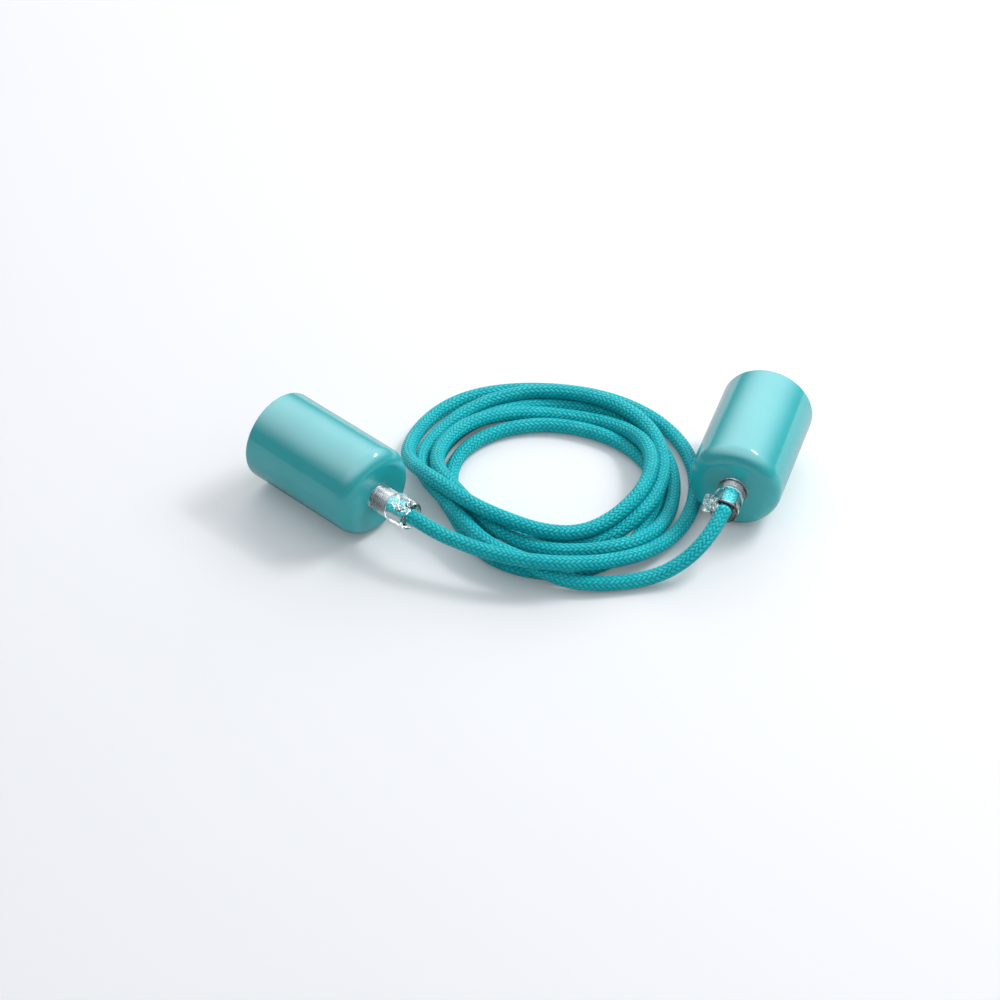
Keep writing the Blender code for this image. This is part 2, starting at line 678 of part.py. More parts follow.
def socket_wiring(end, disc_top, sheath_cut, nipple_low, tag_top):
    """Two terminals on the core, their screws, and the three cores."""
    seat = disc_top + GAP
    half = TERMINAL_WIDTH / 2
    for kind, side in (("live", -1), ("neutral", 1)):
        x = side * TERMINAL_FROM_AXIS
        low = (x - half, -half, seat)
        high = (x + half, half, seat + TERMINAL_HEIGHT)
        terminal = block(f"{kind}_terminal", low, high, end, BRASS)
        wire_height = seat + TERMINAL_HEIGHT / 2
        wire_way = Matrix.Translation((x - side * (half + GAP), 0, wire_height)) @ Matrix.Rotation(
            math.radians(90 * side), 4, "Y"
        )
        depth = TERMINAL_WIDTH - half / 2
        bore = rod(f"{kind}_wire_bore", CORE_RADIUS + GAP, depth, wire_way, end, sides=BORE_SIDES)
        boolean(terminal, bore, "DIFFERENCE")
        tip = CORE_RADIUS + GAP
        length = half + TERMINAL_SCREW_PROUD - tip
        terminal_screw(f"{kind}_terminal_screw", end, (x, tip, wire_height), length)
        frame = Matrix.Translation((x, 0, wire_height)) @ Matrix.Rotation(math.radians(-90), 4, "X")
        well_radius = TERMINAL_SCREW_RADIUS + GAP
        well = rod(f"{kind}_screw_well", well_radius, half + GAP, frame, end, sides=BORE_SIDES)
        boolean(terminal, well, "DIFFERENCE")
        start = core_start(SOCKET_CORE_TURNS[kind], sheath_cut)
        inner_face = x - side * half
        points = [
            start,
            (start[0], start[1], nipple_low + CORE_RADIUS),
            ((start[0] + inner_face) / 2, start[1] / 2, (nipple_low + wire_height) / 2 - CORE_RADIUS),
            (inner_face - side * CORE_BEFORE_TERMINAL, 0, wire_height),
            (inner_face + side * CORE_IN_TERMINAL, 0, wire_height),
        ]
        core(f"socket_core_{kind}", kind, points, end)
    start = core_start(SOCKET_CORE_TURNS["earth"], sheath_cut)
    out = NUT_ACROSS_FLATS / 2 / math.cos(math.pi / 6) + GAP + EARTH_PAST_NUT
    points = [start, (0, start[1], nipple_low + EARTH_BEND_IN_NIPPLE * CORE_RADIUS)]
    points += [(0, share * out, nipple_low + radii * CORE_RADIUS) for share, radii in EARTH_LOOP]
    points.append((0, out, tag_top - TAG_THICK - GAP))
    core("socket_core_earth", "earth", points, end)


def turn_line():
    """The coiled cord's middle line, from the turn tables."""
    reach = np.concatenate([np.array(row, float) for row in TURN_REACH])
    height = np.concatenate([np.array(row, float) for row in TURN_HEIGHT])
    angle = np.radians(COIL_FIRST_DIRECTION + COIL_STEP * np.arange(len(reach)))
    x = COIL_MIDDLE[0] + reach * np.cos(angle)
    y = COIL_MIDDLE[1] + reach * np.sin(angle)
    return np.stack([x, y, height], axis=1) * MM


def coil_section(line, angle):
    """What the turns fill in this direction: their outer and inner reach and the top between them."""
    offset = line[:, :2] - np.array(COIL_MIDDLE) * MM
    along = np.unwrap(np.arctan2(offset[:, 1], offset[:, 0]))
    reach = np.hypot(offset[:, 0], offset[:, 1])
    found = []
    turn = math.ceil((along[0] - angle) / (2 * math.pi))
    while angle + 2 * math.pi * turn <= along[-1]:
        here = angle + 2 * math.pi * turn
        found.append((np.interp(here, along, reach), np.interp(here, along, line[:, 2])))
        turn += 1
    foot = max(r for r, h in found if h < 3 * CORD_RADIUS) + CORD_RADIUS
    circle = np.radians(np.arange(0, 360, COIL_RIM_STEP))
    rims = [
        (r + CORD_RADIUS * math.cos(a), h + CORD_RADIUS * math.sin(a)) for r, h in found for a in circle
    ]
    outer = max(r for r, _ in rims)
    inner = min(r for r, _ in rims)
    hull = []
    for point in sorted(set(rims)):
        while len(hull) > 1 and bends_up(hull[-2], hull[-1], point):
            hull.pop()
        hull.append(point)
    share = np.linspace(0, 1, COIL_TOP_POINTS + 2)
    share = share[0] + (1 - np.cos(math.pi * share)) / 2
    reaches = inner + (outer - inner) * share
    tops = np.interp(reaches, [p[0] for p in hull], [p[1] for p in hull])
    ring_points = [(inner, 0)] + list(zip(reaches, tops)) + [(foot, 0)]
    return [
        (COIL_MIDDLE[0] * MM + r * math.cos(angle), COIL_MIDDLE[1] * MM + r * math.sin(angle), z)
        for r, z in ring_points
    ]


def bends_up(a, b, c):
    """Whether b lies under the straight line from a to c."""
    return (b[0] - a[0]) * (c[1] - a[1]) - (b[1] - a[1]) * (c[0] - a[0]) >= 0


def coil_solid(cut_ways):
    """One closed solid of the coil's outer shape: a loft round the coil, its sections all unlike.
    A channel is cut where each lead lies against it."""
    line = smooth_points(turn_line(), COIL_LINE_SPACING)
    shape = bmesh.new()
    rings = []
    for index in range(COIL_SECTIONS):
        section = coil_section(line, 2 * math.pi * index / COIL_SECTIONS)
        rings.append([shape.verts.new(point) for point in section])
    for index in range(COIL_SECTIONS):
        here, after = rings[index], rings[(index + 1) % COIL_SECTIONS]
        for i in range(len(here)):
            j = (i + 1) % len(here)
            shape.faces.new((here[i], here[j], after[j], after[i]))
    bmesh.ops.recalc_face_normals(shape, faces=shape.faces)
    mesh = bpy.data.meshes.new("cord_coil")
    shape.to_mesh(mesh)
    shape.free()
    made = add("cord_coil", mesh, None, (TEXTILE[0], TEXTILE[1]))
    for name, way in cut_ways.items():
        channel = tube(name, way, CORD_RADIUS + GAP)
        boolean(made, channel, "DIFFERENCE")
    return made


def axis_points(end, heights):
    """World points on an end's axis."""
    frame = end.matrix_world
    return [tuple(frame @ Vector((0, 0, height))) for height in heights]


def lead_route(end, base, sheath_end, lead):
    """From the cut end of the sheath, straight out of the grip, and along the chosen points."""
    mouth = base + GRIP_LENGTH
    heights = (sheath_end, (sheath_end + mouth) / 2, mouth, mouth + LEAD_STRAIGHT)
    return axis_points(end, heights) + [tuple(np.array(point) * MM) for point in lead]


def cord_points(route):
    """The straight run out of the grip, then points read from the smooth curve."""
    curve = smooth_points(route, CORD_SPACING)
    straight = math.dist(route[0], route[3])
    after = [p for p in curve if math.dist(p, route[0]) > straight + CORD_SPACING / 3]
    return np.array([route[0], route[3]] + after)


def longer(points, extra):
    """The points with the last one moved on by this much, for a channel that clears a cord's end."""
    points = np.array(points)
    way = points[-1] - points[-2]
    points[-1] = points[-1] + way / np.linalg.norm(way) * extra
    return points


def cords(ceiling, socket):
    """The two leads and the coil between them."""
    bpy.context.view_layer.update()
    left = lead_route(ceiling, GAP, -SHEATH_IN_NIPPLE, LEFT_LEAD)
    right = lead_route(socket, -GRIP_LET_IN, -GRIP_LET_IN - SHEATH_IN_NIPPLE, RIGHT_LEAD)
    ways = {}
    for name, route in (("ceiling_lead", left), ("socket_lead", right)):
        points = cord_points(route)
        tube(name, points, CORD_RADIUS, None, TEXTILE)
        ways[name + "_channel"] = longer(points, GAP)
    coil_solid(ways)


ceiling = ceiling_end()
socket = socket_end()
cords(ceiling, socket)
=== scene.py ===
from functools import partial
import math

import bmesh
import bpy
import numpy as np
from mathutils import Euler, Matrix, Vector


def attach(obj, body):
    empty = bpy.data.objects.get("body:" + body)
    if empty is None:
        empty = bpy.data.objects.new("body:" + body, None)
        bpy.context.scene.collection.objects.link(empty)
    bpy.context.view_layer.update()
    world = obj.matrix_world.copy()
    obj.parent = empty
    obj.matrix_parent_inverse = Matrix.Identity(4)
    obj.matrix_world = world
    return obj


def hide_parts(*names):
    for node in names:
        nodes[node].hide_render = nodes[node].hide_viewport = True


# Pendant light cord set on a white table: ceiling cup, lampholder cup and a textile cord in loose coils
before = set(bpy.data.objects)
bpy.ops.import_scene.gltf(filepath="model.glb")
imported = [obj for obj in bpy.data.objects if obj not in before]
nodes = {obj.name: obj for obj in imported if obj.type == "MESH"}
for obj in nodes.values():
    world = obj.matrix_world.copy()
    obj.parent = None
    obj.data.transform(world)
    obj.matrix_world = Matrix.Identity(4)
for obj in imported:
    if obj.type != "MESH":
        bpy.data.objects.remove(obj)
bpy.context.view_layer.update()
mm = 0.001


def linked(name, data):
    made = bpy.data.objects.new(name, data)
    bpy.context.scene.collection.objects.link(made)
    return made


# camera, fitted to the photograph
view = {
    "lens": 125.184,  # mm
    "distance": 1.6312994,  # metres from the target
    "elevation": 39.142385,  # degrees
    "turn": 17.64721,  # degrees
    "target": (-0.00755, -0.01085, 0),
    "clipStart": 0.05,
}
viewTurn, viewElevation = math.radians(view["turn"]), math.radians(view["elevation"])
backward = Vector((0, -math.cos(viewElevation), math.sin(viewElevation)))
backward = Euler((0, 0, viewTurn)).to_matrix() @ backward
cameraData = bpy.data.cameras.new("photoCamera")
cameraData.lens = view["lens"]
cameraData.clip_start = view["clipStart"]
camera = linked("photoCamera", cameraData)
camera.location = Vector(view["target"]) + backward * view["distance"]
camera.rotation_euler = (-backward).to_track_quat("-Z", "Y").to_euler()
bpy.context.scene.camera = camera
bpy.context.scene.view_settings.view_transform = "Standard"
print("camera set")

# the two ends: where the middle of each cup's closed face is, in mm, and how it is turned, in degrees
cup = {
    "radius": 22,
    "sides": 50,  # of the CAD cup, which lies on one of them
    "length": 66,
    "wall": 1.0,
    "corner": 7,
    "rim": 0.49,
    "hole": {"ceiling": 5.3, "socket": 7.05},
    "holeEdge": 0.25,
    "steps": 160,
}
axisHeight = cup["radius"] * math.cos(math.pi / cup["sides"])
endPlaces = {"ceiling": ((-53.5, -50.8), 63.8), "socket": ((100.5, 2.2), 0.0)}
endFrames = {
    end: Matrix.Translation(Vector((x, y, axisHeight)) * mm)
    @ Euler((math.radians(90), 0, math.radians(turn))).to_matrix().to_4x4()
    for end, ((x, y), turn) in endPlaces.items()
}


# shader helpers
def feed(tree, socket, value):
    # gives a socket a number or a colour, or links another socket to it
    if isinstance(value, bpy.types.NodeSocket):
        tree.links.new(value, socket)
    elif isinstance(value, (int, float)):
        socket.default_value = value
    else:
        socket.default_value = (*value, 1)


def calc(tree, operation, *values):
    # one Math node; values are numbers or sockets
    node = tree.nodes.new("ShaderNodeMath")
    node.operation = operation
    for socket, value in zip(node.inputs, values):
        feed(tree, socket, value)
    return node.outputs[0]


def blend(tree, factor, first, second):
    # a colour mix; first and second are colours or sockets
    node = tree.nodes.new("ShaderNodeMix")
    node.data_type = "RGBA"
    for index, value in ((0, factor), (6, first), (7, second)):
        feed(tree, node.inputs[index], value)
    return node.outputs[2]


def mapRange(tree, value, low, high, newLow, newHigh, kind="LINEAR"):
    node = tree.nodes.new("ShaderNodeMapRange")
    node.interpolation_type = kind
    for socket, number in zip(node.inputs, (value, low, high, newLow, newHigh)):
        feed(tree, socket, number)
    return node.outputs[0]


def noise(tree, coordinates, scale, detail=3.0):
    node = tree.nodes.new("ShaderNodeTexNoise")
    for label, value in (("Vector", coordinates), ("Scale", scale), ("Detail", detail)):
        feed(tree, node.inputs[label], value)
    return node.outputs["Fac"]


def nodeGroup(name, kind, inputs, outputs):
    # an empty group with its sockets, given by name and type
    tree = bpy.data.node_groups.new(name, kind + "NodeTree")
    for way, sockets in (("INPUT", inputs), ("OUTPUT", outputs)):
        for label, socketKind in sockets.items():
            tree.interface.new_socket(label, in_out=way, socket_type="NodeSocket" + socketKind)
    return tree, tree.nodes.new("NodeGroupInput").outputs, tree.nodes.new("NodeGroupOutput").inputs


# moulding or drawing texture: how smooth it is from place to place, and its fine height
grainMix = {"broadScale": 0.12, "fineDetail": 4.0, "broad": 0.7, "fine": 0.3, "low": 0.35, "high": 0.65}
grainGroup, given, result = nodeGroup(
    "surfaceGrain",
    "Shader",
    {"Vector": "Vector", "Scale": "Float", "Smooth Roughness": "Float", "Rough Roughness": "Float"},
    {"Roughness": "Float", "Height": "Float"},
)
sums = partial(calc, grainGroup)
broad = noise(grainGroup, given["Vector"], sums("MULTIPLY", given["Scale"], grainMix["broadScale"]))
fine = noise(grainGroup, given["Vector"], given["Scale"], grainMix["fineDetail"])
mixed = sums("ADD", sums("MULTIPLY", broad, grainMix["broad"]), sums("MULTIPLY", fine, grainMix["fine"]))
uneven = mapRange(
    grainGroup, mixed, grainMix["low"], grainMix["high"], given["Smooth Roughness"], given["Rough Roughness"]
)
grainGroup.links.new(uneven, result["Roughness"])
grainGroup.links.new(fine, result["Height"])

# colour that drifts a little over a surface
driftMix = {"detail": 5.0, "low": 0.38, "high": 0.62}
driftGroup, given, result = nodeGroup(
    "colourDrift",
    "Shader",
    {"Vector": "Vector", "Scale": "Float", "Colour": "Color", "Deep Colour": "Color"},
    {"Color": "Color"},
)
drift = noise(driftGroup, given["Vector"], given["Scale"], driftMix["detail"])
drift = mapRange(driftGroup, drift, driftMix["low"], driftMix["high"], 0.0, 1.0)
driftGroup.links.new(blend(driftGroup, drift, given["Colour"], given["Deep Colour"]), result["Color"])


def placeGroup(tree, group, coordinates, values):
    node = tree.nodes.new("ShaderNodeGroup")
    node.node_tree = group
    for label, value in {"Vector": coordinates, **values}.items():
        feed(tree, node.inputs[label], value)
    return node.outputs


def drifting(tree, coordinates, scale, colour, deep):
    values = {"Scale": scale, "Colour": colour, "Deep Colour": deep}
    return placeGroup(tree, driftGroup, coordinates, values)["Color"]


def roughen(tree, shader, coordinates, scale, roughness):
    # roughness that varies between two values; gives the height of the same grain
    values = {"Scale": scale, "Smooth Roughness": roughness[0], "Rough Roughness": roughness[1]}
    grain = placeGroup(tree, grainGroup, coordinates, values)
    tree.links.new(grain["Roughness"], shader.inputs["Roughness"])
    return grain["Height"]


def newMaterial(name):
    material = bpy.data.materials.new(name)
    material.use_nodes = True
    tree = material.node_tree
    coordinates = tree.nodes.new("ShaderNodeTexCoord").outputs["Object"]
    return material, tree, tree.nodes["Principled BSDF"], coordinates


def bump(tree, shader, height, distance):
    node = tree.nodes.new("ShaderNodeBump")
    node.inputs["Strength"].default_value = 1.0
    node.inputs["Distance"].default_value = distance
    tree.links.new(height, node.inputs["Height"])
    tree.links.new(node.outputs[0], shader.inputs["Normal"])


def surface(name, colour, deep, roughness, grainScale, driftScale, height=0.00001, **fixed):
    # a finish with drifting colour, uneven roughness and fine relief
    material, tree, shader, coordinates = newMaterial(name)
    tree.links.new(drifting(tree, coordinates, driftScale, colour, deep), shader.inputs["Base Color"])
    bump(tree, shader, roughen(tree, shader, coordinates, grainScale, roughness), height)
    for label, value in fixed.items():
        shader.inputs[label.replace("_", " ")].default_value = value
    return material


def lightThrough(material, share):
    # lets light into a clear piece, which would otherwise shade what is in it
    tree = material.node_tree
    mixer = tree.nodes.new("ShaderNodeMixShader")
    shadowed = tree.nodes.new("ShaderNodeLightPath").outputs["Is Shadow Ray"]
    tree.links.new(calc(tree, "MULTIPLY", shadowed, share), mixer.inputs[0])
    tree.links.new(tree.nodes["Principled BSDF"].outputs[0], mixer.inputs[1])
    tree.links.new(tree.nodes.new("ShaderNodeBsdfTransparent").outputs[0], mixer.inputs[2])
    tree.links.new(mixer.outputs[0], tree.nodes["Material Output"].inputs["Surface"])


# finishes: colour, deeper colour, and the smoothest and roughest roughness
enamel = surface(
    "mintEnamel", (0.04, 0.485, 0.51), (0.03, 0.46, 0.49), (0.2, 0.26), grainScale=420, driftScale=45,
    height=0.000006, Specular_IOR_Level=0.25, Coat_Weight=1.0, Coat_Roughness=0.04, Coat_IOR=1.6,
)
clearPlastic = surface(
    "clearPlastic", (0.97, 0.99, 0.985), (0.94, 0.98, 0.975), (0.01, 0.05), grainScale=500, driftScale=150,
    Transmission_Weight=1.0, IOR=1.4,
)
lightThrough(clearPlastic, share=0.85)
zinc = surface(
    "zincPlate", (0.42, 0.43, 0.44), (0.31, 0.32, 0.34), (0.2, 0.36), grainScale=1500, driftScale=200,
    height=0.000008, Metallic=1.0,
)
brass = surface(
    "brass", (0.86, 0.66, 0.3), (0.7, 0.5, 0.2), (0.16, 0.32), grainScale=1300, driftScale=160,
    height=0.000006, Metallic=1.0,
)
whitePlastic = surface(
    "whitePlastic", (0.82, 0.82, 0.79), (0.77, 0.77, 0.74), (0.32, 0.46), grainScale=1600, driftScale=70,
    height=0.000012,
)
brownCore = surface(
    "brownCore", (0.14, 0.05, 0.02), (0.1, 0.035, 0.015), (0.34, 0.48), grainScale=1800, driftScale=220
)
blueCore = surface(
    "blueCore", (0.02, 0.1, 0.42), (0.015, 0.075, 0.34), (0.34, 0.48), grainScale=1800, driftScale=220
)
print("plain finishes made")

# textile braid: twelve yarn bundles each way, each over two and under two
braid = {
    "bundles": 12,
    "rise": 1.25,  # mm along the cord from one crossing row to the next
    "filaments": 4,  # in a bundle
    "colour": (0.01, 0.72, 0.78),
    "deepColour": (0.0, 0.63, 0.7),
    # painted shade: the dark colour the weave takes where its relief is low, between the bundles and between
    # filaments
    "hollowPaintedShade": (0.0, 0.13, 0.17),  # between the bundles
    "driftScale": 110,
    "relief": 0.0005,
    "wobble": 0.07,  # of a bundle's width
    "wobbleScale": 240,
    "fuzzScale": 2600,
    "swell": 0.6,  # of a bundle across it: less is flatter
    "arch": 0.65,  # share of a bundle's height that comes and goes along it
    "filamentRelief": 0.16,
    "fuzzRelief": 0.18,
    # painted shade of the filaments: their crests are painted lighter than the grooves between them
    "filamentShade": 0.2,
    "fuzzShade": 0.3,
    # the span of the weave's height over which its colour goes from the painted shade to the yarn's colour
    "shadeRange": (0.2, 1.15),
    "roughness": (0.3, 0.46),
    "grainScale": 1500,
    "cloth": {
        "Sheen Weight": 0.04,
        "Sheen Roughness": 0.4,
        "Sheen Tint": (0.5, 1.0, 1.0),
        "Specular IOR Level": 0.65,
        "Specular Tint": (0.3, 1.0, 1.0),
    },
}


def braidMaterial():
    material, tree, shader, coordinates = newMaterial("turquoiseBraid")
    sums = partial(calc, tree)
    uv = tree.nodes.new("ShaderNodeUVMap")
    uv.uv_map = "cordWay"
    split = tree.nodes.new("ShaderNodeSeparateXYZ")
    tree.links.new(uv.outputs[0], split.inputs[0])
    around = sums("MULTIPLY", split.outputs[0], braid["bundles"])
    along = sums("DIVIDE", split.outputs[1], 2 * braid["rise"] * mm)
    uneven = noise(tree, coordinates, braid["wobbleScale"], 1.0)
    wobble = mapRange(tree, uneven, 0.3, 0.7, -braid["wobble"], braid["wobble"])
    leftHand = sums("ADD", sums("ADD", around, along), wobble)
    rightHand = sums("ADD", sums("SUBTRACT", around, along), wobble)
    heights, lines = [], []
    for own, other, start in ((leftHand, rightHand, 0), (rightHand, leftHand, 2)):
        weaveStep = sums("FLOORED_MODULO", sums("ADD", sums("FLOOR", own), other), 4)
        place = sums("SUBTRACT", weaveStep, start)
        onTop = sums("MULTIPLY", sums("GREATER_THAN", place, 0), sums("LESS_THAN", place, 2))
        arch = sums("SINE", sums("MULTIPLY", place, math.pi / 2))
        arch = sums("MULTIPLY_ADD", arch, braid["arch"], 1 - braid["arch"])
        width = sums("SINE", sums("MULTIPLY", sums("FRACT", own), math.pi))
        hump = sums("MULTIPLY", sums("POWER", width, braid["swell"]), arch)
        heights.append(sums("MULTIPLY", onTop, hump))
        strand = sums("MULTIPLY", sums("FRACT", own), braid["filaments"])
        thread = sums("ABSOLUTE", sums("SINE", sums("MULTIPLY", strand, math.pi)))
        lines.append(sums("MULTIPLY", onTop, thread))
    yarn = sums("ADD", *heights)
    threads = sums("ADD", *lines)
    fuzz = noise(tree, coordinates, braid["fuzzScale"])
    height = sums("MULTIPLY_ADD", threads, braid["filamentRelief"], yarn)
    bump(tree, shader, sums("ADD", height, sums("MULTIPLY", fuzz, braid["fuzzRelief"])), braid["relief"])
    # painted shade: the colour darkens where the weave is low and lightens on the crests of bundles and
    # filaments; the fuzz adds random tone
    paintedShading = sums("MULTIPLY_ADD", fuzz, braid["fuzzShade"], yarn)
    paintedShading = sums("MULTIPLY_ADD", threads, braid["filamentShade"], paintedShading)
    paintedShading = mapRange(tree, paintedShading, *braid["shadeRange"], 0.0, 1.0)
    tinted = drifting(tree, coordinates, braid["driftScale"], braid["colour"], braid["deepColour"])
    tree.links.new(blend(tree, paintedShading, braid["hollowPaintedShade"], tinted), shader.inputs["Base Color"])
    roughen(tree, shader, coordinates, braid["grainScale"], braid["roughness"])
    for label, value in braid["cloth"].items():
        feed(tree, shader.inputs[label], value)
    return material


textile = braidMaterial()

# green insulation with a yellow stripe that winds along the core
earth = {
    "green": (0.03, 0.2, 0.03),
    "yellow": (0.75, 0.6, 0.03),
    "stripeScale": 60,
    "distortion": 1.5,
    "stripe": (0.42, 0.52),
    "grainScale": 1800,
    "roughness": (0.34, 0.48),
    "relief": 0.00001,
}


def earthMaterial():
    material, tree, shader, coordinates = newMaterial("earthCore")
    wave = tree.nodes.new("ShaderNodeTexWave")
    wave.inputs["Scale"].default_value = earth["stripeScale"]
    wave.inputs["Distortion"].default_value = earth["distortion"]
    tree.links.new(coordinates, wave.inputs["Vector"])
    stripe = mapRange(tree, wave.outputs["Fac"], *earth["stripe"], 0.0, 1.0)
    tree.links.new(blend(tree, stripe, earth["green"], earth["yellow"]), shader.inputs["Base Color"])
    height = roughen(tree, shader, coordinates, earth["grainScale"], earth["roughness"])
    bump(tree, shader, height, earth["relief"])
    return material


greenCore = earthMaterial()
print("textile made")

# cord: the way it lies, in millimetres
cord = {
    "radius": 3.5,
    "length": 2.02,  # metres of sheath, from grip to grip
    "spacing": 2.5,  # of the points that are settled
    "ringStep": 0.5,
    "ringSides": 24,
    "straight": 6,  # out of each grip
    "gripMouth": {"ceiling": 21.8, "socket": 16.0},
    "sheathEnd": {"ceiling": -4.0, "socket": -9.5},
}
coil = {
    "middle": (12.5, 4.0),
    "firstDirection": -90,  # in front, where each turn begins
    "directionStep": 5,
    "lastReach": 60,
    "bulgeWidth": 30,  # degrees
    "restingOrder": (3, 2, 4, 1, 0),  # the turns from the table up
    "eased": 8,  # points on each side over which a crossing rises
}
# each turn's reach in front, right, behind and left of the middle
turns = ((72, 68, 71, 69), (50, 48, 52, 55), (50, 57, 61, 57), (64, 50, 44, 48), (46, 52, 61, 62))
# where a turn is fuller or tighter than that: the turn, the direction and by how much
bulges = (
    (0, 145, 7),
    (0, 215, -6),
    (1, 228, -4),
    (2, -35, 7),
    (2, 228, -9),
    (3, -62, 5),
    (4, 135, 4),
    (4, 228, -8),
)
leftLead = ((-21.5, -65, 20.5), (-13, -66.3, 19), (-4, -67.5, 18), (4, -68.2, 17.3), (9, -68.2, 17))
rightLead = (
    (99.5, -25, 18.7),
    (97, -30.5, 15.5),
    (93, -36, 12),
    (87, -41, 8.5),
    (80, -45.4, 5.8),
    (72, -49.5, 4.3),
    (62, -53.6, 3.7),
    (50, -57, 3.5),
    (40, -58, 3.5),
)
settling = {
    "rounds": 32,
    "share": 0.5,  # of each solved step that is taken
    "knotEvery": 4,  # points
    "plan": 0.12,  # how firmly a strand keeps its place in the picture
    "weight": 0.05,  # how firmly it sinks to the table
    "lead": 0.5,  # how firmly a lead keeps its height
    "held": 8.0,  # how firmly the ends stay in the grips
    "smooth": 1.2,  # how firmly neighbours move alike
    "touch": 6.0,  # how firmly strands, cups and table push it away
    "nearly": 0.02,  # mm from which things count as touching
    "apart": 24,  # mm along the cord before it can touch itself
    "cupRoom": 0.4,
    "cupEnds": (2, 1.5),  # mm past a cup's open and closed ends
    "heldLength": (30, 26),  # mm at the ceiling end and the socket end
    "leadLength": (112, 110),
    "bend": 30.0,  # mm, the tightest radius
    "bendRounds": 400,
    "bendShare": 0.25,
    "bendWidth": 5,  # points eased with each that is too tight
}


def smoothLine(points, spacing):
    # evenly spaced points on the natural cubic curve through the given ones
    points = np.array(points, float)
    along = np.concatenate([[0], np.cumsum(np.linalg.norm(np.diff(points, axis=0), axis=1))])
    step = np.diff(along)
    count = len(points)
    matrix = np.eye(count)
    right = np.zeros((count, 3))
    for i in range(1, count - 1):
        matrix[i, i - 1 : i + 2] = step[i - 1], 2 * (step[i - 1] + step[i]), step[i]
        right[i] = 6 * ((points[i + 1] - points[i]) / step[i] - (points[i] - points[i - 1]) / step[i - 1])
    curving = np.linalg.solve(matrix, right)
    wanted = np.linspace(0, along[-1], max(2, round(along[-1] / spacing) + 1))
    i = np.clip(np.searchsorted(along, wanted) - 1, 0, count - 2)
    h = step[i][:, None]
    before = (along[i + 1] - wanted)[:, None]
    after = (wanted - along[i])[:, None]
    line = curving[i] * before**3 / (6 * h) + curving[i + 1] * after**3 / (6 * h)
    line += (points[i] / h - curving[i] * h / 6) * before
    return line + (points[i + 1] / h - curving[i + 1] * h / 6) * after


def eased(share):
    share = np.clip(share, 0, 1)
    return share * share * (3 - 2 * share)


def turnPlan():
    # where each point of the coil lies on the table, its direction, and the turn it is on
    sides = np.append(np.array(turns, float).ravel(), coil["lastReach"])
    first = coil["firstDirection"]
    direction = np.arange(first, first + 360 * len(turns) + 1, coil["directionStep"])
    quarter = (direction - first) / 90
    side = np.minimum(quarter.astype(int), len(sides) - 2)
    reach = sides[side] + (sides[side + 1] - sides[side]) * eased(quarter - side)
    for index, bulge, size in bulges:
        reach += size * np.exp(-(((direction - bulge - 360 * index) / coil["bulgeWidth"]) ** 2))
    angle = np.radians(direction)
    plan = np.array(coil["middle"]) + reach[:, None] * np.stack([np.cos(angle), np.sin(angle)], axis=1)
    return plan, direction, np.minimum(quarter.astype(int) // 4, len(turns) - 1)


def restingHeights(plan, direction, turn):
    # each turn rests on the table or on the turns under it, which are laid first
    height = np.full(len(plan), float(cord["radius"]))
    laid = np.zeros(len(plan), bool)
    place = np.arange(len(plan))
    for current in coil["restingOrder"]:
        for i in np.flatnonzero(turn == current):
            distance = np.linalg.norm(plan - plan[i], axis=1)
            under = laid & (distance < 2 * cord["radius"]) & (abs(place - i) > 2 * coil["eased"])
            if under.any():
                rise = np.sqrt((2 * cord["radius"]) ** 2 - distance[under] ** 2)
                height[i] = max(height[i], (height[under] + rise).max())
        laid |= turn == current
    start = leftLead[-1][2]
    coming = start + (cord["radius"] - start) * eased((direction - coil["firstDirection"]) / 90)
    height = np.maximum(height, coming)
    padded = np.pad(height, coil["eased"], mode="edge")
    window = np.hanning(2 * coil["eased"] + 3)
    return np.convolve(padded, window[1:-1] / window.sum(), "valid")


def cordRoute():
    plan, direction, turn = turnPlan()
    turnPoints = np.column_stack([plan, restingHeights(plan, direction, turn)])
    ways = {}
    for end, lead in (("ceiling", leftLead), ("socket", rightLead)):
        mouth, sheath = cord["gripMouth"][end], cord["sheathEnd"][end]
        heights = (sheath, (sheath + mouth) / 2, mouth, mouth + cord["straight"])
        out = [tuple(endFrames[end] @ Vector((0, 0, h * mm)) / mm) for h in heights]
        ways[end] = out + list(lead)
    return np.array(ways["ceiling"] + [tuple(p) for p in turnPoints] + ways["socket"][::-1])


def hatWeights(count, knots):
    # cubic spline weights of every point on its nearest four knots, and the first of those knots
    place = np.arange(count) / (count - 1) * (knots - 3 - 1e-9)
    first = place.astype(int)
    f = place - first
    shares = (
        (1 - f) ** 3 / 6, (3 * f**3 - 6 * f**2 + 4) / 6, (-3 * f**3 + 3 * f**2 + 3 * f + 1) / 6, f**3 / 6
    )
    weights = np.zeros((count, knots))
    for k, share in enumerate(shares):
        weights[np.arange(count), first + k] += share
    return weights, first, np.stack(shares, axis=1)


def easeBends(line, held):
    # opens out what bends tighter than the cord can, a little at a time
    line = line.copy()
    for _ in range(settling["bendRounds"]):
        second = line[:-2] - 2 * line[1:-1] + line[2:]
        spacing = np.linalg.norm(line[2:] - line[:-2], axis=1) / 2
        tight = np.linalg.norm(second, axis=1) / spacing**2 > 1 / settling["bend"]
        tight = np.convolve(tight, np.ones(settling["bendWidth"]), "same") > 0
        move = tight & ~held[1:-1]
        if not move.any():
            break
        line[1:-1][move] += settling["bendShare"] * second[move]
    return line


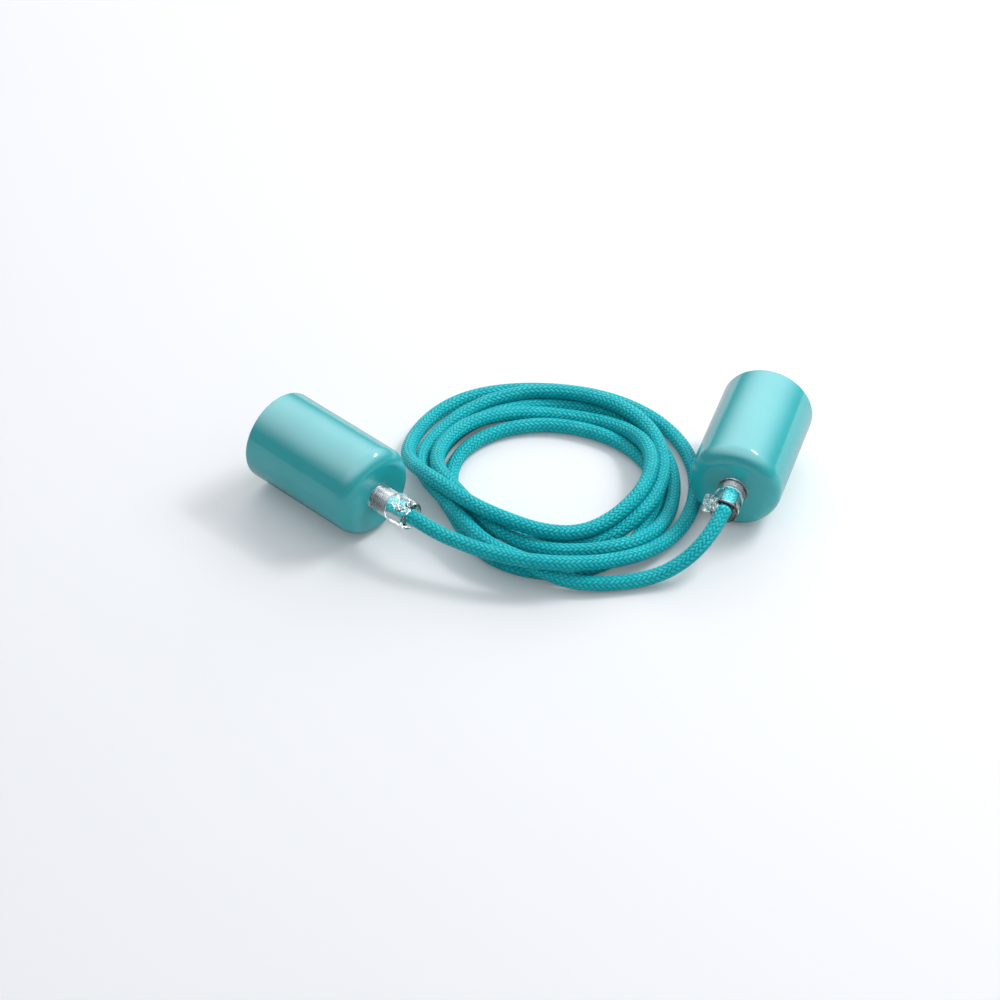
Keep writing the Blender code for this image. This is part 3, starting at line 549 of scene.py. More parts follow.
def settleCord(line):
    # lets the cord sink until it rests on the table and on itself, seen in place from the camera
    count, radius = len(line), cord["radius"]
    knots = int(count / settling["knotEvery"]) + 4
    weights, first, shares = hatWeights(count, knots)
    along = np.concatenate([[0], np.cumsum(np.linalg.norm(np.diff(line, axis=0), axis=1))])
    fromEnd = along[-1] - along
    held = (along < settling["heldLength"][0]) | (fromEnd < settling["heldLength"][1])
    line = easeBends(line, held)
    sure = held | (along < settling["leadLength"][0]) | (fromEnd < settling["leadLength"][1])
    apart = np.abs(np.arange(count)[:, None] - np.arange(count)[None]) * cord["spacing"] > settling["apart"]
    ray = line - np.array(camera.location) / mm
    slope = ray[:, :2] / ray[:, 2:3]

    # what does not change: place in the picture, weight, smoothness and the held ends
    steady, pull = np.zeros((3, 3, knots, knots)), np.zeros((3, knots))
    square = weights.T @ weights
    plan = settling["plan"] ** 2
    sink = np.where(sure, settling["lead"], settling["weight"]) ** 2
    stay = weights.T @ (weights * (settling["held"] ** 2 * held)[:, None])
    bending = np.diff(np.eye(knots), 2, axis=0)
    for axis in range(3):
        steady[axis, axis] += settling["smooth"] ** 2 * bending.T @ bending + stay
    for axis in range(2):
        tilted = weights.T @ (weights * slope[:, axis : axis + 1])
        steady[axis, axis] += plan * square
        steady[axis, 2] -= plan * tilted
        steady[2, axis] -= plan * tilted
    steady[2, 2] += weights.T @ (weights * (plan * (slope**2).sum(1) + sink)[:, None])
    pull[2] += weights.T @ (sink * np.where(sure, 0, radius - line[:, 2]))

    touch = settling["touch"] ** 2
    shift = np.zeros((knots, 3))
    for _ in range(settling["rounds"]):
        now = line + weights @ shift
        system = steady.transpose(0, 2, 1, 3).reshape(3 * knots, 3 * knots).copy()
        target = pull.copy()
        low = now[:, 2] < radius + settling["nearly"]
        system[2 * knots :, 2 * knots :] += touch * weights[low].T @ weights[low]
        target[2] += touch * weights[low].T @ (radius - line[low, 2])
        target = target.ravel()
        # where two strands touch
        gaps = now[:, None] - now[None]
        distance = np.sqrt((gaps**2).sum(-1))
        i, j = np.nonzero(np.triu(apart & (distance < 2 * radius + settling["nearly"])))
        way = gaps[i, j] / distance[i, j][:, None]
        knot = np.concatenate([first[i][:, None] + np.arange(4), first[j][:, None] + np.arange(4)], axis=1)
        share = np.concatenate([shares[i], -shares[j]], axis=1)
        wanted = 2 * radius - (way * (line[i] - line[j])).sum(1)
        contacts = [(knot, share, way, wanted)]
        # where a strand touches a cup
        for end, ((x, y), turn) in endPlaces.items():
            out = np.array([math.sin(math.radians(turn)), -math.cos(math.radians(turn))])
            side = np.array([-out[1], out[0]])
            offset = now[:, :2] - (x, y)
            forward, lateral = offset @ out, offset @ side
            room = cup["radius"] + radius + settling["cupRoom"]
            reach = np.hypot(lateral, now[:, 2] - axisHeight)
            behind = -cup["length"] - settling["cupEnds"][0]
            beside = (forward < settling["cupEnds"][1]) & (forward > behind)
            near = beside & (reach < room) & ~held
            over, rise = lateral[near] / reach[near], (now[near, 2] - axisHeight) / reach[near]
            way = np.stack([over * side[0], over * side[1], rise], axis=1)
            knot = first[near][:, None] + np.arange(4)
            middle = np.array([x, y, axisHeight])
            contacts.append((knot, shares[near], way, room - (way * (line[near] - middle)).sum(1)))
        for knot, share, way, wanted in contacts:
            size = (len(knot), 3 * knot.shape[1])
            index = (knot[:, None, :] + knots * np.arange(3)[None, :, None]).reshape(size)
            value = (way[:, :, None] * share[:, None, :]).reshape(size)
            push = touch * value
            np.add.at(system, (index[:, :, None], index[:, None, :]), push[:, :, None] * value[:, None, :])
            np.add.at(target, index, push * wanted[:, None])
        solved = np.linalg.solve(system + 1e-6 * np.eye(3 * knots), target)
        shift += settling["share"] * (solved.reshape(3, knots).T - shift)
    return line + weights @ shift


def tubeMesh(name, line, radius, sides):
    # a tube with no twist, its ends closed, its UV the turn around and the metres along
    along = np.concatenate([[0], np.cumsum(np.linalg.norm(np.diff(line, axis=0), axis=1))])
    tangent = np.gradient(line, axis=0)
    tangent /= np.linalg.norm(tangent, axis=1)[:, None]
    up = np.zeros_like(line)
    up[0] = np.cross(tangent[0], (0.3, 0.1, 1))
    for i in range(1, len(line)):
        up[i] = up[i - 1]
        up[i] -= tangent[i] * (up[i] @ tangent[i])
        up[i] /= np.linalg.norm(up[i])
    up[0] /= np.linalg.norm(up[0])
    side = np.cross(tangent, up)
    turn = np.linspace(0, 2 * math.pi, sides, endpoint=False)
    ring = np.cos(turn)[None, :, None] * up[:, None] + np.sin(turn)[None, :, None] * side[:, None]
    places = (line[:, None] + radius * ring).reshape(-1, 3)
    count = len(line)
    i, j = (grid.ravel() for grid in np.meshgrid(np.arange(count - 1), np.arange(sides), indexing="ij"))
    after = (j + 1) % sides
    faces = np.stack([i * sides + j, i * sides + after, (i + 1) * sides + after, (i + 1) * sides + j], axis=1)
    mesh = bpy.data.meshes.new(name)
    ends = [list(range(sides))[::-1], list(range((count - 1) * sides, count * sides))]
    mesh.from_pydata(places.tolist(), [], faces.tolist() + ends)
    uvs = np.zeros((len(mesh.loops), 2), np.float32)
    around = np.stack([j, j + 1, j + 1, j], axis=1) / sides
    length = along[np.stack([i, i, i + 1, i + 1], axis=1)]
    uvs[: 4 * len(faces), 0] = around.ravel()
    uvs[: 4 * len(faces), 1] = length.ravel()
    layer = mesh.uv_layers.new(name="cordWay")
    layer.data.foreach_set("uv", uvs.ravel())
    mesh.validate()
    shape = bmesh.new()
    shape.from_mesh(mesh)
    bmesh.ops.recalc_face_normals(shape, faces=shape.faces)
    shape.to_mesh(mesh)
    shape.free()
    mesh.shade_smooth()
    return mesh


cordLine = settleCord(smoothLine(cordRoute(), cord["spacing"]))
ringLine = smoothLine(cordLine, cord["ringStep"]) * mm
cordMesh = tubeMesh("textileCord", ringLine, cord["radius"] * mm, cord["ringSides"])
cordMesh.materials.append(textile)
textileCord = linked("textileCord", cordMesh)
cordLength = float(np.linalg.norm(np.diff(ringLine, axis=0), axis=1).sum())
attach(textileCord, "root")
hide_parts("ceiling_lead", "socket_lead", "cord_coil")
print("cord settled, length", round(cordLength, 3), "lowest", round(float(ringLine[:, 2].min()) / mm, 2))

# table, light and surroundings
studio = {
    "tableSize": 6.0,
    "tableDrop": 0.00008,  # metres below what lies on it
    "tableColour": (0.8, 0.805, 0.825),
    "tableDeepening": 0.99,
    "tableRoughness": 0.6,
    "tableLift": 0.11,  # added to how bright the camera sees it
    "tableDim": 0.4,  # how much less of the table polished pieces mirror
    "tint": (0.955, 0.985, 1.02),
    "front": 0.3,  # light from the front at table height
    "top": 0.64,  # light from the top and the back
    "slantX": 0.25,  # how much direction counts beside height in this
    "slantY": 0.75,
    "slantRange": (-0.5, 1.0),
    "lowGloss": 0.2,  # what polished pieces mirror at table height
    "highGloss": 3.5,  # and from above and behind
    "glossSlantY": 0.2,
    "glossRange": (0.22, 0.95),
}
half = studio["tableSize"] / 2
corners = [(x * half, y * half, -studio["tableDrop"]) for x, y in ((-1, -1), (1, -1), (1, 1), (-1, 1))]
tableMesh = bpy.data.meshes.new("table")
tableMesh.from_pydata(corners, [], [(0, 1, 2, 3)])
table = linked("table", tableMesh)
tableMaterial, tree, shader, coordinates = newMaterial("paleTable")
deeper = tuple(studio["tableDeepening"] * c for c in studio["tableColour"])
tinted = drifting(tree, coordinates, 3, studio["tableColour"], deeper)
rays = tree.nodes.new("ShaderNodeLightPath").outputs
mirroredShare = calc(tree, "MULTIPLY", rays["Is Glossy Ray"], studio["tableDim"])
tree.links.new(blend(tree, mirroredShare, tinted, (0, 0, 0)), shader.inputs["Base Color"])
shader.inputs["Roughness"].default_value = studio["tableRoughness"]
seen = calc(tree, "MAXIMUM", rays["Is Camera Ray"], rays["Is Transmission Ray"])
shader.inputs["Emission Color"].default_value = (1, 1, 1, 1)
tree.links.new(calc(tree, "MULTIPLY", seen, studio["tableLift"]), shader.inputs["Emission Strength"])
tableMesh.materials.append(tableMaterial)

world = bpy.data.worlds.new("studio")
world.use_nodes = True
bpy.context.scene.world = world
tree = world.node_tree
sums = partial(calc, tree)
background = tree.nodes["Background"]
feed(tree, background.inputs["Color"], studio["tint"])
direction = tree.nodes.new("ShaderNodeSeparateXYZ")
tree.links.new(tree.nodes.new("ShaderNodeTexCoord").outputs["Generated"], direction.inputs[0])
toRight, toBack, toTop = direction.outputs
slant = sums("ADD", sums("MULTIPLY", toBack, studio["slantY"]), toTop)
slant = sums("ADD", sums("MULTIPLY", toRight, studio["slantX"]), slant)
level = mapRange(tree, slant, *studio["slantRange"], studio["front"], studio["top"], "SMOOTHSTEP")
slant = sums("MULTIPLY_ADD", toBack, studio["glossSlantY"], toTop)
gloss = mapRange(tree, slant, *studio["glossRange"], studio["lowGloss"], studio["highGloss"], "SMOOTHSTEP")
rays = tree.nodes.new("ShaderNodeLightPath").outputs
level = sums("ADD", level, sums("MULTIPLY", rays["Is Glossy Ray"], sums("SUBTRACT", gloss, level)))
direct = sums("MAXIMUM", rays["Is Camera Ray"], rays["Is Transmission Ray"])
tree.links.new(sums("MAXIMUM", direct, level), background.inputs["Strength"])

# soft lights: place, aim and size in metres, power in watts, and whether polished pieces mirror them
lights = {
    "keyLight": {"place": (0.75, 0.75, 1.05), "aim": (0, 0, 0), "size": (0.7, 0.7), "power": 8.5},
    "glintLight": {"place": (0.55, 0.6, 0.9), "aim": (0, 0, 0), "size": (0.34, 0.12), "power": 3.2},
    "backLight": {"place": (-0.25, 1.5, 0.8), "aim": (0, 0, 0.02), "size": (1.6, 0.8), "power": 5},
}
mirroredLights = ("glintLight",)
for name, light in lights.items():
    data = bpy.data.lights.new(name, "AREA")
    data.shape = "RECTANGLE"
    data.size, data.size_y = light["size"]
    data.energy = light["power"]
    lamp = linked(name, data)
    lamp.location = light["place"]
    lamp.visible_glossy = name in mirroredLights
    toAim = Vector(light["aim"]) - Vector(light["place"])
    lamp.rotation_euler = toAim.to_track_quat("-Z", "Y").to_euler()
print("table and lights set")


# meshes by turning and by rule
def rounded(corners, points=5):
    # corners are (radius, height, fillet); gives the closed outline with its corners rounded
    outline = []
    for index, (r, z, fillet) in enumerate(corners):
        here = np.array((r, z), float)
        if not fillet:
            outline.append(tuple(here))
            continue
        ways = [np.array(corners[(index + d) % len(corners)][:2], float) - here for d in (-1, 1)]
        lengths = [np.linalg.norm(way) for way in ways]
        before, after = (way / length for way, length in zip(ways, lengths))
        half = math.acos(max(-1, min(1, before @ after))) / 2
        back = min(fillet / math.tan(half), 0.5 * min(lengths))
        fillet = back * math.tan(half)
        middle = here + (before + after) / np.linalg.norm(before + after) * fillet / math.sin(half)
        first, last = here + before * back - middle, here + after * back - middle
        spread = math.pi - 2 * half
        for t in np.linspace(0, 1, points):
            near, far = math.sin((1 - t) * spread), math.sin(t * spread)
            outline.append(tuple(middle + (near * first + far * last) / math.sin(spread)))
    return outline


def finely(outline, low, high, step):
    # adds points to the steep edges between two heights, for a thread or flutes to follow
    made = []
    for (r1, z1), (r2, z2) in zip(outline, outline[1:] + outline[:1]):
        made.append((r1, z1))
        if abs(z2 - z1) > step and min(z1, z2) < high and max(z1, z2) > low:
            count = int(abs(z2 - z1) / step)
            made += [(r1 + (r2 - r1) * k / count, z1 + (z2 - z1) * k / count) for k in range(1, count)]
    return made


def turnedMesh(name, outline, steps=96):
    # a closed outline turned about Z, in metres
    outline = np.array(outline) * mm
    count = len(outline)
    angle = np.linspace(0, 2 * math.pi, steps, endpoint=False)
    places = np.stack(
        [
            np.cos(angle)[:, None] * outline[None, :, 0],
            np.sin(angle)[:, None] * outline[None, :, 0],
            np.broadcast_to(outline[None, :, 1], (steps, count)),
        ],
        axis=2,
    ).reshape(-1, 3)
    i, j = (grid.ravel() for grid in np.meshgrid(np.arange(steps), np.arange(count), indexing="ij"))
    nextI, nextJ = (i + 1) % steps, (j + 1) % count
    faces = np.stack([i * count + j, nextI * count + j, nextI * count + nextJ, i * count + nextJ], axis=1)
    mesh = bpy.data.meshes.new(name)
    mesh.from_pydata(places.tolist(), [], faces.tolist())
    return cleaned(mesh)


def cleaned(mesh, distance=1e-6):
    shape = bmesh.new()
    shape.from_mesh(mesh)
    bmesh.ops.remove_doubles(shape, verts=shape.verts, dist=distance)
    bmesh.ops.dissolve_degenerate(shape, edges=shape.edges, dist=distance / 10)
    bmesh.ops.recalc_face_normals(shape, faces=shape.faces)
    shape.to_mesh(mesh)
    shape.free()
    return mesh


def draft(mesh):
    # a working object, still in its end's own frame
    return linked(mesh.name, mesh)


def turned(name, outline, steps=96):
    return draft(turnedMesh(name, outline, steps))


def block(name, low, high, edge=0.0, segments=3):
    # a box with rounded edges, its corners in millimetres
    mesh = bpy.data.meshes.new(name)
    shape = bmesh.new()
    bmesh.ops.create_cube(shape, size=1)
    low, high = Vector(low) * mm, Vector(high) * mm
    bmesh.ops.scale(shape, verts=shape.verts, vec=high - low)
    bmesh.ops.translate(shape, verts=shape.verts, vec=(low + high) / 2)
    if edge:
        bmesh.ops.bevel(
            shape, geom=shape.edges, offset=edge * mm, segments=segments, profile=0.5, affect="EDGES"
        )
    shape.to_mesh(mesh)
    shape.free()
    return draft(mesh)


def applied(made):
    # the evaluated mesh of a working object, which is then removed
    bpy.context.view_layer.update()
    depsgraph = bpy.context.evaluated_depsgraph_get()
    mesh = bpy.data.meshes.new_from_object(made.evaluated_get(depsgraph), depsgraph=depsgraph)
    bpy.data.objects.remove(made)
    return mesh


def boolean(made, tool, operation="DIFFERENCE"):
    step = made.modifiers.new(operation.lower(), "BOOLEAN")
    step.operation = operation
    step.solver = "EXACT"
    step.object = tool
    mesh = applied(made)
    bpy.data.objects.remove(tool)
    return draft(mesh)


def asPiece(name, mesh, material, replaced, sharp):
    # a mesh in its place becomes a piece of the model and stands for CAD nodes
    mesh.name = name
    mesh.materials.clear()
    mesh.materials.append(material)
    mesh.shade_smooth()
    mesh.set_sharp_from_angle(angle=math.radians(sharp))
    piece = linked(name, mesh)
    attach(piece, "root")
    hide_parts(*replaced)


def finished(name, made, end, material, replaced, sharp=38):
    # bakes a working object into its place as a piece
    mesh = applied(made)
    mesh.transform(endFrames[end])
    asPiece(name, mesh, material, replaced, sharp)


# geometry nodes: a wave around and along an axis, for threads, flutes and ribs
def makeNode(tree, kind, values=None, **settings):
    node = tree.nodes.new(kind)
    for label, value in settings.items():
        setattr(node, label, value)
    for key, value in (values or {}).items():
        feed(tree, node.inputs[key], value)
    return node.outputs


def sendOut(tree, geometry, material, output):
    # realizes and coats what a tree has made
    whole = makeNode(tree, "GeometryNodeRealizeInstances", {0: geometry})[0]
    coated = makeNode(tree, "GeometryNodeSetMaterial", {"Geometry": whole, "Material": material})[0]
    tree.links.new(coated, output)


def waveTree():
    numbers = ("Count", "Turns Per Metre", "Depth", "Low", "High", "Fade", "Inner Limit", "Sharpness")
    inputs = {"Geometry": "Geometry", **dict.fromkeys(numbers, "Float"), "Material": "Material"}
    tree, given, result = nodeGroup("radialWave", "Geometry", inputs, {"Geometry": "Geometry"})
    make, sums = partial(makeNode, tree), partial(calc, tree)
    x, y, z = make("ShaderNodeSeparateXYZ", {0: make("GeometryNodeInputPosition")[0]})
    around = sums("MULTIPLY", sums("DIVIDE", sums("ARCTAN2", y, x), 2 * math.pi), given["Count"])
    phase = sums("SUBTRACT", around, sums("MULTIPLY", z, given["Turns Per Metre"]))
    swing = sums("MULTIPLY_ADD", sums("COSINE", sums("MULTIPLY", phase, 2 * math.pi)), -0.5, 0.5)
    wave = sums("POWER", swing, given["Sharpness"])
    radius = sums("SQRT", sums("ADD", sums("MULTIPLY", x, x), sums("MULTIPLY", y, y)))
    outside = sums("GREATER_THAN", radius, given["Inner Limit"])
    below = sums("DIVIDE", sums("SUBTRACT", z, given["Low"]), given["Fade"])
    above = sums("DIVIDE", sums("SUBTRACT", given["High"], z), given["Fade"])
    fade = make("ShaderNodeClamp", {0: sums("MINIMUM", below, above)})[0]
    amount = sums("MULTIPLY", sums("MULTIPLY", wave, given["Depth"]), sums("MULTIPLY", outside, fade))
    scale = sums("MULTIPLY", sums("DIVIDE", amount, sums("MAXIMUM", radius, 0.0001)), -1.0)
    flat = make("ShaderNodeCombineXYZ", {0: x, 1: y})[0]
    offset = make("ShaderNodeVectorMath", {0: flat, "Scale": scale}, operation="SCALE")[0]
    moved = make("GeometryNodeSetPosition", {"Geometry": given["Geometry"], "Offset": offset})[0]
    sendOut(tree, moved, given["Material"], result[0])
    return tree


radialWave = waveTree()


def withNodes(made, tree, values):
    # puts a node tree on a working object and bakes it
    step = made.modifiers.new(tree.name, "NODES")
    step.node_group = tree
    sockets = {
        item.name: item.identifier
        for item in tree.interface.items_tree
        if item.item_type == "SOCKET" and item.in_out == "INPUT"
    }
    for label, value in values.items():
        step[sockets[label]] = value
    return draft(applied(made))


def waved(made, material, count, turnsPerMetre, depth, low, high, limit, fade, sharpness):
    # limit is the radius inside which nothing moves; all but the count and the turns are in mm
    values = {
        "Count": float(count),
        "Turns Per Metre": float(turnsPerMetre),
        "Depth": depth * mm,
        "Low": low * mm,
        "High": high * mm,
        "Fade": fade * mm,
        "Inner Limit": limit * mm,
        "Sharpness": sharpness,
        "Material": material,
    }
    return withNodes(made, radialWave, values)


def gridTree():
    inputs = {
        "Geometry": "Geometry", "Columns": "Int", "Rows": "Int",
        "Column Width": "Float", "Row Width": "Float", "Material": "Material",
    }
    tree, given, result = nodeGroup("gridOfCopies", "Geometry", inputs, {"Geometry": "Geometry"})
    make, sums = partial(makeNode, tree), partial(calc, tree)
    points = []
    for number, width, axis in (("Columns", "Column Width", 0), ("Rows", "Row Width", 2)):
        reach = sums("MULTIPLY", sums("SUBTRACT", given[number], 1.0), given[width])
        first = make("ShaderNodeCombineXYZ", {axis: sums("MULTIPLY", reach, -0.5)})[0]
        offset = make("ShaderNodeCombineXYZ", {axis: given[width]})[0]
        row = {"Count": given[number], "Start Location": first, "Offset": offset}
        points.append(make("GeometryNodeMeshLine", row)[0])
    column = make("GeometryNodeInstanceOnPoints", {"Points": points[0], "Instance": given["Geometry"]})[0]
    both = make("GeometryNodeInstanceOnPoints", {"Points": points[1], "Instance": column})[0]
    sendOut(tree, both, given["Material"], result[0])
    return tree


gridOfCopies = gridTree()


def copied(made, material, columns, rows, columnWidth, rowWidth):
    # copies about the origin along X and Z
    values = {
        "Columns": columns, "Rows": rows, "Column Width": columnWidth * mm, "Row Width": rowWidth * mm,
        "Material": material,
    }
    return withNodes(made, gridOfCopies, values)


print("node trees made")

# cups
def makeCup(end):
    outer, wall, length, corner = axisHeight, cup["wall"], cup["length"], cup["corner"]
    hole, edge, rim = cup["hole"][end], cup["holeEdge"], cup["rim"]
    outline = rounded(
        [
            (hole, 0, edge),
            (outer, 0, corner),
            (outer, -length, rim),
            (outer - wall, -length, rim),
            (outer - wall, -wall, corner - wall),
            (hole, -wall, edge),
        ],
        points=14,
    )
    made = turned(end + "Cup", outline, cup["steps"])
    finished(end + "Cup", made, end, enamel, [end + "_cup"])


for end in endPlaces:
    makeCup(end)
print("cups made")

# clear cord grips
grip = {
    "radius": 6.75,
    "length": 21.5,
    "edge": 1.1,
    "threadDepth": 9.5,
    "bore": 3.8,
    "threadBore": 5.3,
    "flange": 0.85,
    "bossRadius": 4.0,
    "bossStart": 4.2,
    "bossAt": 17.3,
    "bossReach": 7.6,
    "base": {"ceiling": 0.3, "socket": -5.5},
    "bossTurn": {"ceiling": 108.0, "socket": 180.0},
}
clampScrew = {
    "shank": 2.0, "tip": 3.9, "room": 0.25, "head": 4.2, "headHeight": 2.2, "pitch": 0.8, "threadDepth": 0.3,
    "slotWidth": 1.0, "slotDepth": 1.0, "slotTurn": 35, "flutes": 14, "fluteDepth": 0.45,
}


def across(end):
    # the frame of the boss: its Z points out of the grip's axis
    return (
        Matrix.Translation((0, 0, (grip["base"][end] + grip["bossAt"]) * mm))
        @ Matrix.Rotation(math.radians(grip["bossTurn"][end]), 4, "Z")
        @ Matrix.Rotation(math.radians(90), 4, "Y")
    )


def makeGrip(end):
    base = grip["base"][end]
    top, step, radius = base + grip["length"], base + grip["threadDepth"], grip["radius"]
    corners = [
        (grip["bore"], top, 0.5),
        (radius, top, grip["edge"]),
        (radius, base, 0.3),
        (grip["threadBore"], base, 0.2),
        (grip["threadBore"], step, 0.3),
        (grip["bore"], step, 0.3),
    ]
    if end == "socket":  # a thin flange on the cup's face
        wide = radius + grip["flange"]
        corners[2:3] = [
            (radius, 0.7, 0.2), (wide, 0.7, 0.25), (wide, 0.12, 0.1), (radius, 0.12, 0.1), (radius, base, 0.3)
        ]
    body = turned(end + "Grip", rounded(corners, 6), 72)
    outer, start, reach = grip["bossRadius"], grip["bossStart"], grip["bossReach"]
    boss = rounded([(0, start, 0), (outer, start, 0), (outer, reach, 0.6), (0, reach, 0)], 5)
    boss = turned("boss", boss, 48)
    boss.data.transform(across(end))
    body = boolean(body, boss, "UNION")
    bore = clampScrew["shank"] + clampScrew["room"]
    hole = turned("hole", [(0, 2.0), (bore, 2.0), (bore, 9), (0, 9)], 40)
    hole.data.transform(across(end))
    body = boolean(body, hole)
    finished(end + "CordGrip", body, end, clearPlastic, [end + "_cord_grip"], 30)


def makeClampScrew(end):
    shank, tip, head = clampScrew["shank"], clampScrew["tip"], clampScrew["head"]
    seat = grip["bossReach"] + clampScrew["room"]
    top = seat + clampScrew["headHeight"]
    outline = rounded(
        [
            (0, tip, 0), (shank, tip, 0.5), (shank, seat, 0.15),
            (head, seat, 0.35), (head, top, 0.5), (0, top, 0),
        ],
        5,
    )
    made = turned(end + "Screw", finely(finely(outline, seat, top, 0.2), tip, seat, 0.12), 168)
    made = waved(
        made, clearPlastic, clampScrew["flutes"], 0, clampScrew["fluteDepth"],
        low=seat - 0.1, high=top + 0.6, limit=2.6, fade=0.5, sharpness=1.6,
    )
    made = waved(
        made, clearPlastic, 1, 1 / (clampScrew["pitch"] * mm), clampScrew["threadDepth"],
        low=4.4, high=seat, limit=1.6, fade=0.4, sharpness=1.2,
    )
    half = clampScrew["slotWidth"] / 2
    slot = block("slot", (-half, -6, top - clampScrew["slotDepth"]), (half, 6, top + 2))
    slot.data.transform(Matrix.Rotation(math.radians(clampScrew["slotTurn"]), 4, "Z"))
    made = boolean(made, slot)
    made.data.transform(across(end))
    finished(end + "GripScrew", made, end, clearPlastic, [end + "_grip_screw"], 34)


for end in endPlaces:
    makeGrip(end)
    makeClampScrew(end)
print("cord grips made")

# threaded nipples, nuts and washers
fitting = {
    "thread": 5.0, "bore": 4.0, "pitch": 1.0, "depth": 0.6, "nutFlats": 14, "nutHeight": 3.6, "nutBore": 5.15,
    "nutMouth": 5.9, "nutSink": 0.7, "nutFace": 0.9, "nutChamfer": 0.55,
    "nipple": {"ceiling": (-7.6, 9.2), "socket": (-15.4, 3.4)},
    "nutTop": {"ceiling": -2.4, "socket": -10.2},
}


def makeNipple(end):
    low, high = fitting["nipple"][end]
    bore, thread = fitting["bore"], fitting["thread"]
    outline = rounded([(bore, high, 0.25), (thread, high, 0.35), (thread, low, 0.35), (bore, low, 0.25)], 4)
    made = turned(end + "Nipple", finely(outline, low, high, 0.1), 48)
    made = waved(
        made, zinc, 1, 1 / (fitting["pitch"] * mm), fitting["depth"],
        low=low - 0.3, high=high + 0.3, limit=(bore + thread) / 2, fade=0.6, sharpness=1.3,
    )
    finished(end + "Nipple", made, end, zinc, [end + "_nipple"], 60)


def makeNut(end):
    top = fitting["nutTop"][end]
    low = top - fitting["nutHeight"]
    corner = fitting["nutFlats"] / 2 / math.cos(math.pi / 6)
    mesh = bpy.data.meshes.new("nut")
    shape = bmesh.new()
    bmesh.ops.create_cone(
        shape, cap_ends=True, segments=6, radius1=corner * mm, radius2=corner * mm,
        depth=fitting["nutHeight"] * mm,
    )
    bmesh.ops.translate(shape, verts=shape.verts, vec=(0, 0, (low + top) / 2 * mm))
    shape.to_mesh(mesh)
    shape.free()
    face, wide, slope = corner - fitting["nutFace"], corner + 0.1, fitting["nutChamfer"]
    chamfer = rounded(
        [
            (0, top, 0), (face, top, 0.2), (wide, top - slope, 0.2),
            (wide, low + slope, 0.2), (face, low, 0.2), (0, low, 0),
        ],
        3,
    )
    made = boolean(draft(mesh), turned("chamfer", chamfer, 96), "INTERSECT")
    bore, mouth, sink = fitting["nutBore"], fitting["nutMouth"], fitting["nutSink"]
    hole = [
        (0, low - 1), (mouth, low - 0.05), (bore, low + sink),
        (bore, top - sink), (mouth, top + 0.05), (0, top + 1),
    ]
    made = boolean(made, turned("nutHole", hole, 64))
    finished(end + "LockNut", made, end, zinc, [end + "_lock_nut"], 25)


for end in endPlaces:
    makeNipple(end)
    makeNut(end)
washer = rounded([(5.3, -1.3, 0.1), (8.4, -1.3, 0.3), (8.4, -2.1, 0.3), (5.3, -2.1, 0.1)], 4)
washer = turned("ceilingWasher", washer, 120)
washer = waved(washer, zinc, 20, 0, 0.7, low=-3, high=0, limit=7.5, fade=0.3, sharpness=1.0)
finished("ceilingLockWasher", washer, "ceiling", zinc, ["ceiling_lock_washer"], 30)
print("fittings made")

# terminal block of the ceiling end: three poles side by side, two screws on each
terminalBlock = {
    "poles": 3, "pitch": 8, "floor": -16.883, "baseHeight": 6.4, "top": -4.883, "near": -22, "far": -39,
    "tower": (6, 7.4), "holeHeight": -13.483, "bore": 2.4, "well": 1.5, "screwSpacing": 8, "edge": 0.7,
    "screw": (-12.03, -5.48, 1.2),
}
smallScrew = {"pitch": 0.5, "threadDepth": 0.12, "slotWidth": 0.36, "slotDepth": 0.6}


def grubScrew(name, low, high, radius):
    # a slotted grub screw along Y, both ends given as heights
    outline = rounded([(0, low, 0), (radius, low, 0.3), (radius, high, 0.2), (0, high, 0)], 4)
    made = turned(name, finely(outline, low, high, 0.08), 32)
    made = waved(
        made, brass, 1, 1 / (smallScrew["pitch"] * mm), smallScrew["threadDepth"],
        low=low, high=high - 0.8, limit=radius * 0.6, fade=0.3, sharpness=1.0,
    )
    half = smallScrew["slotWidth"] / 2
    made = boolean(made, block("slot", (-half, -2, high - smallScrew["slotDepth"]), (half, 2, high + 1)))
    made.data.transform(Matrix.Rotation(math.radians(-90), 4, "X"))
    return made


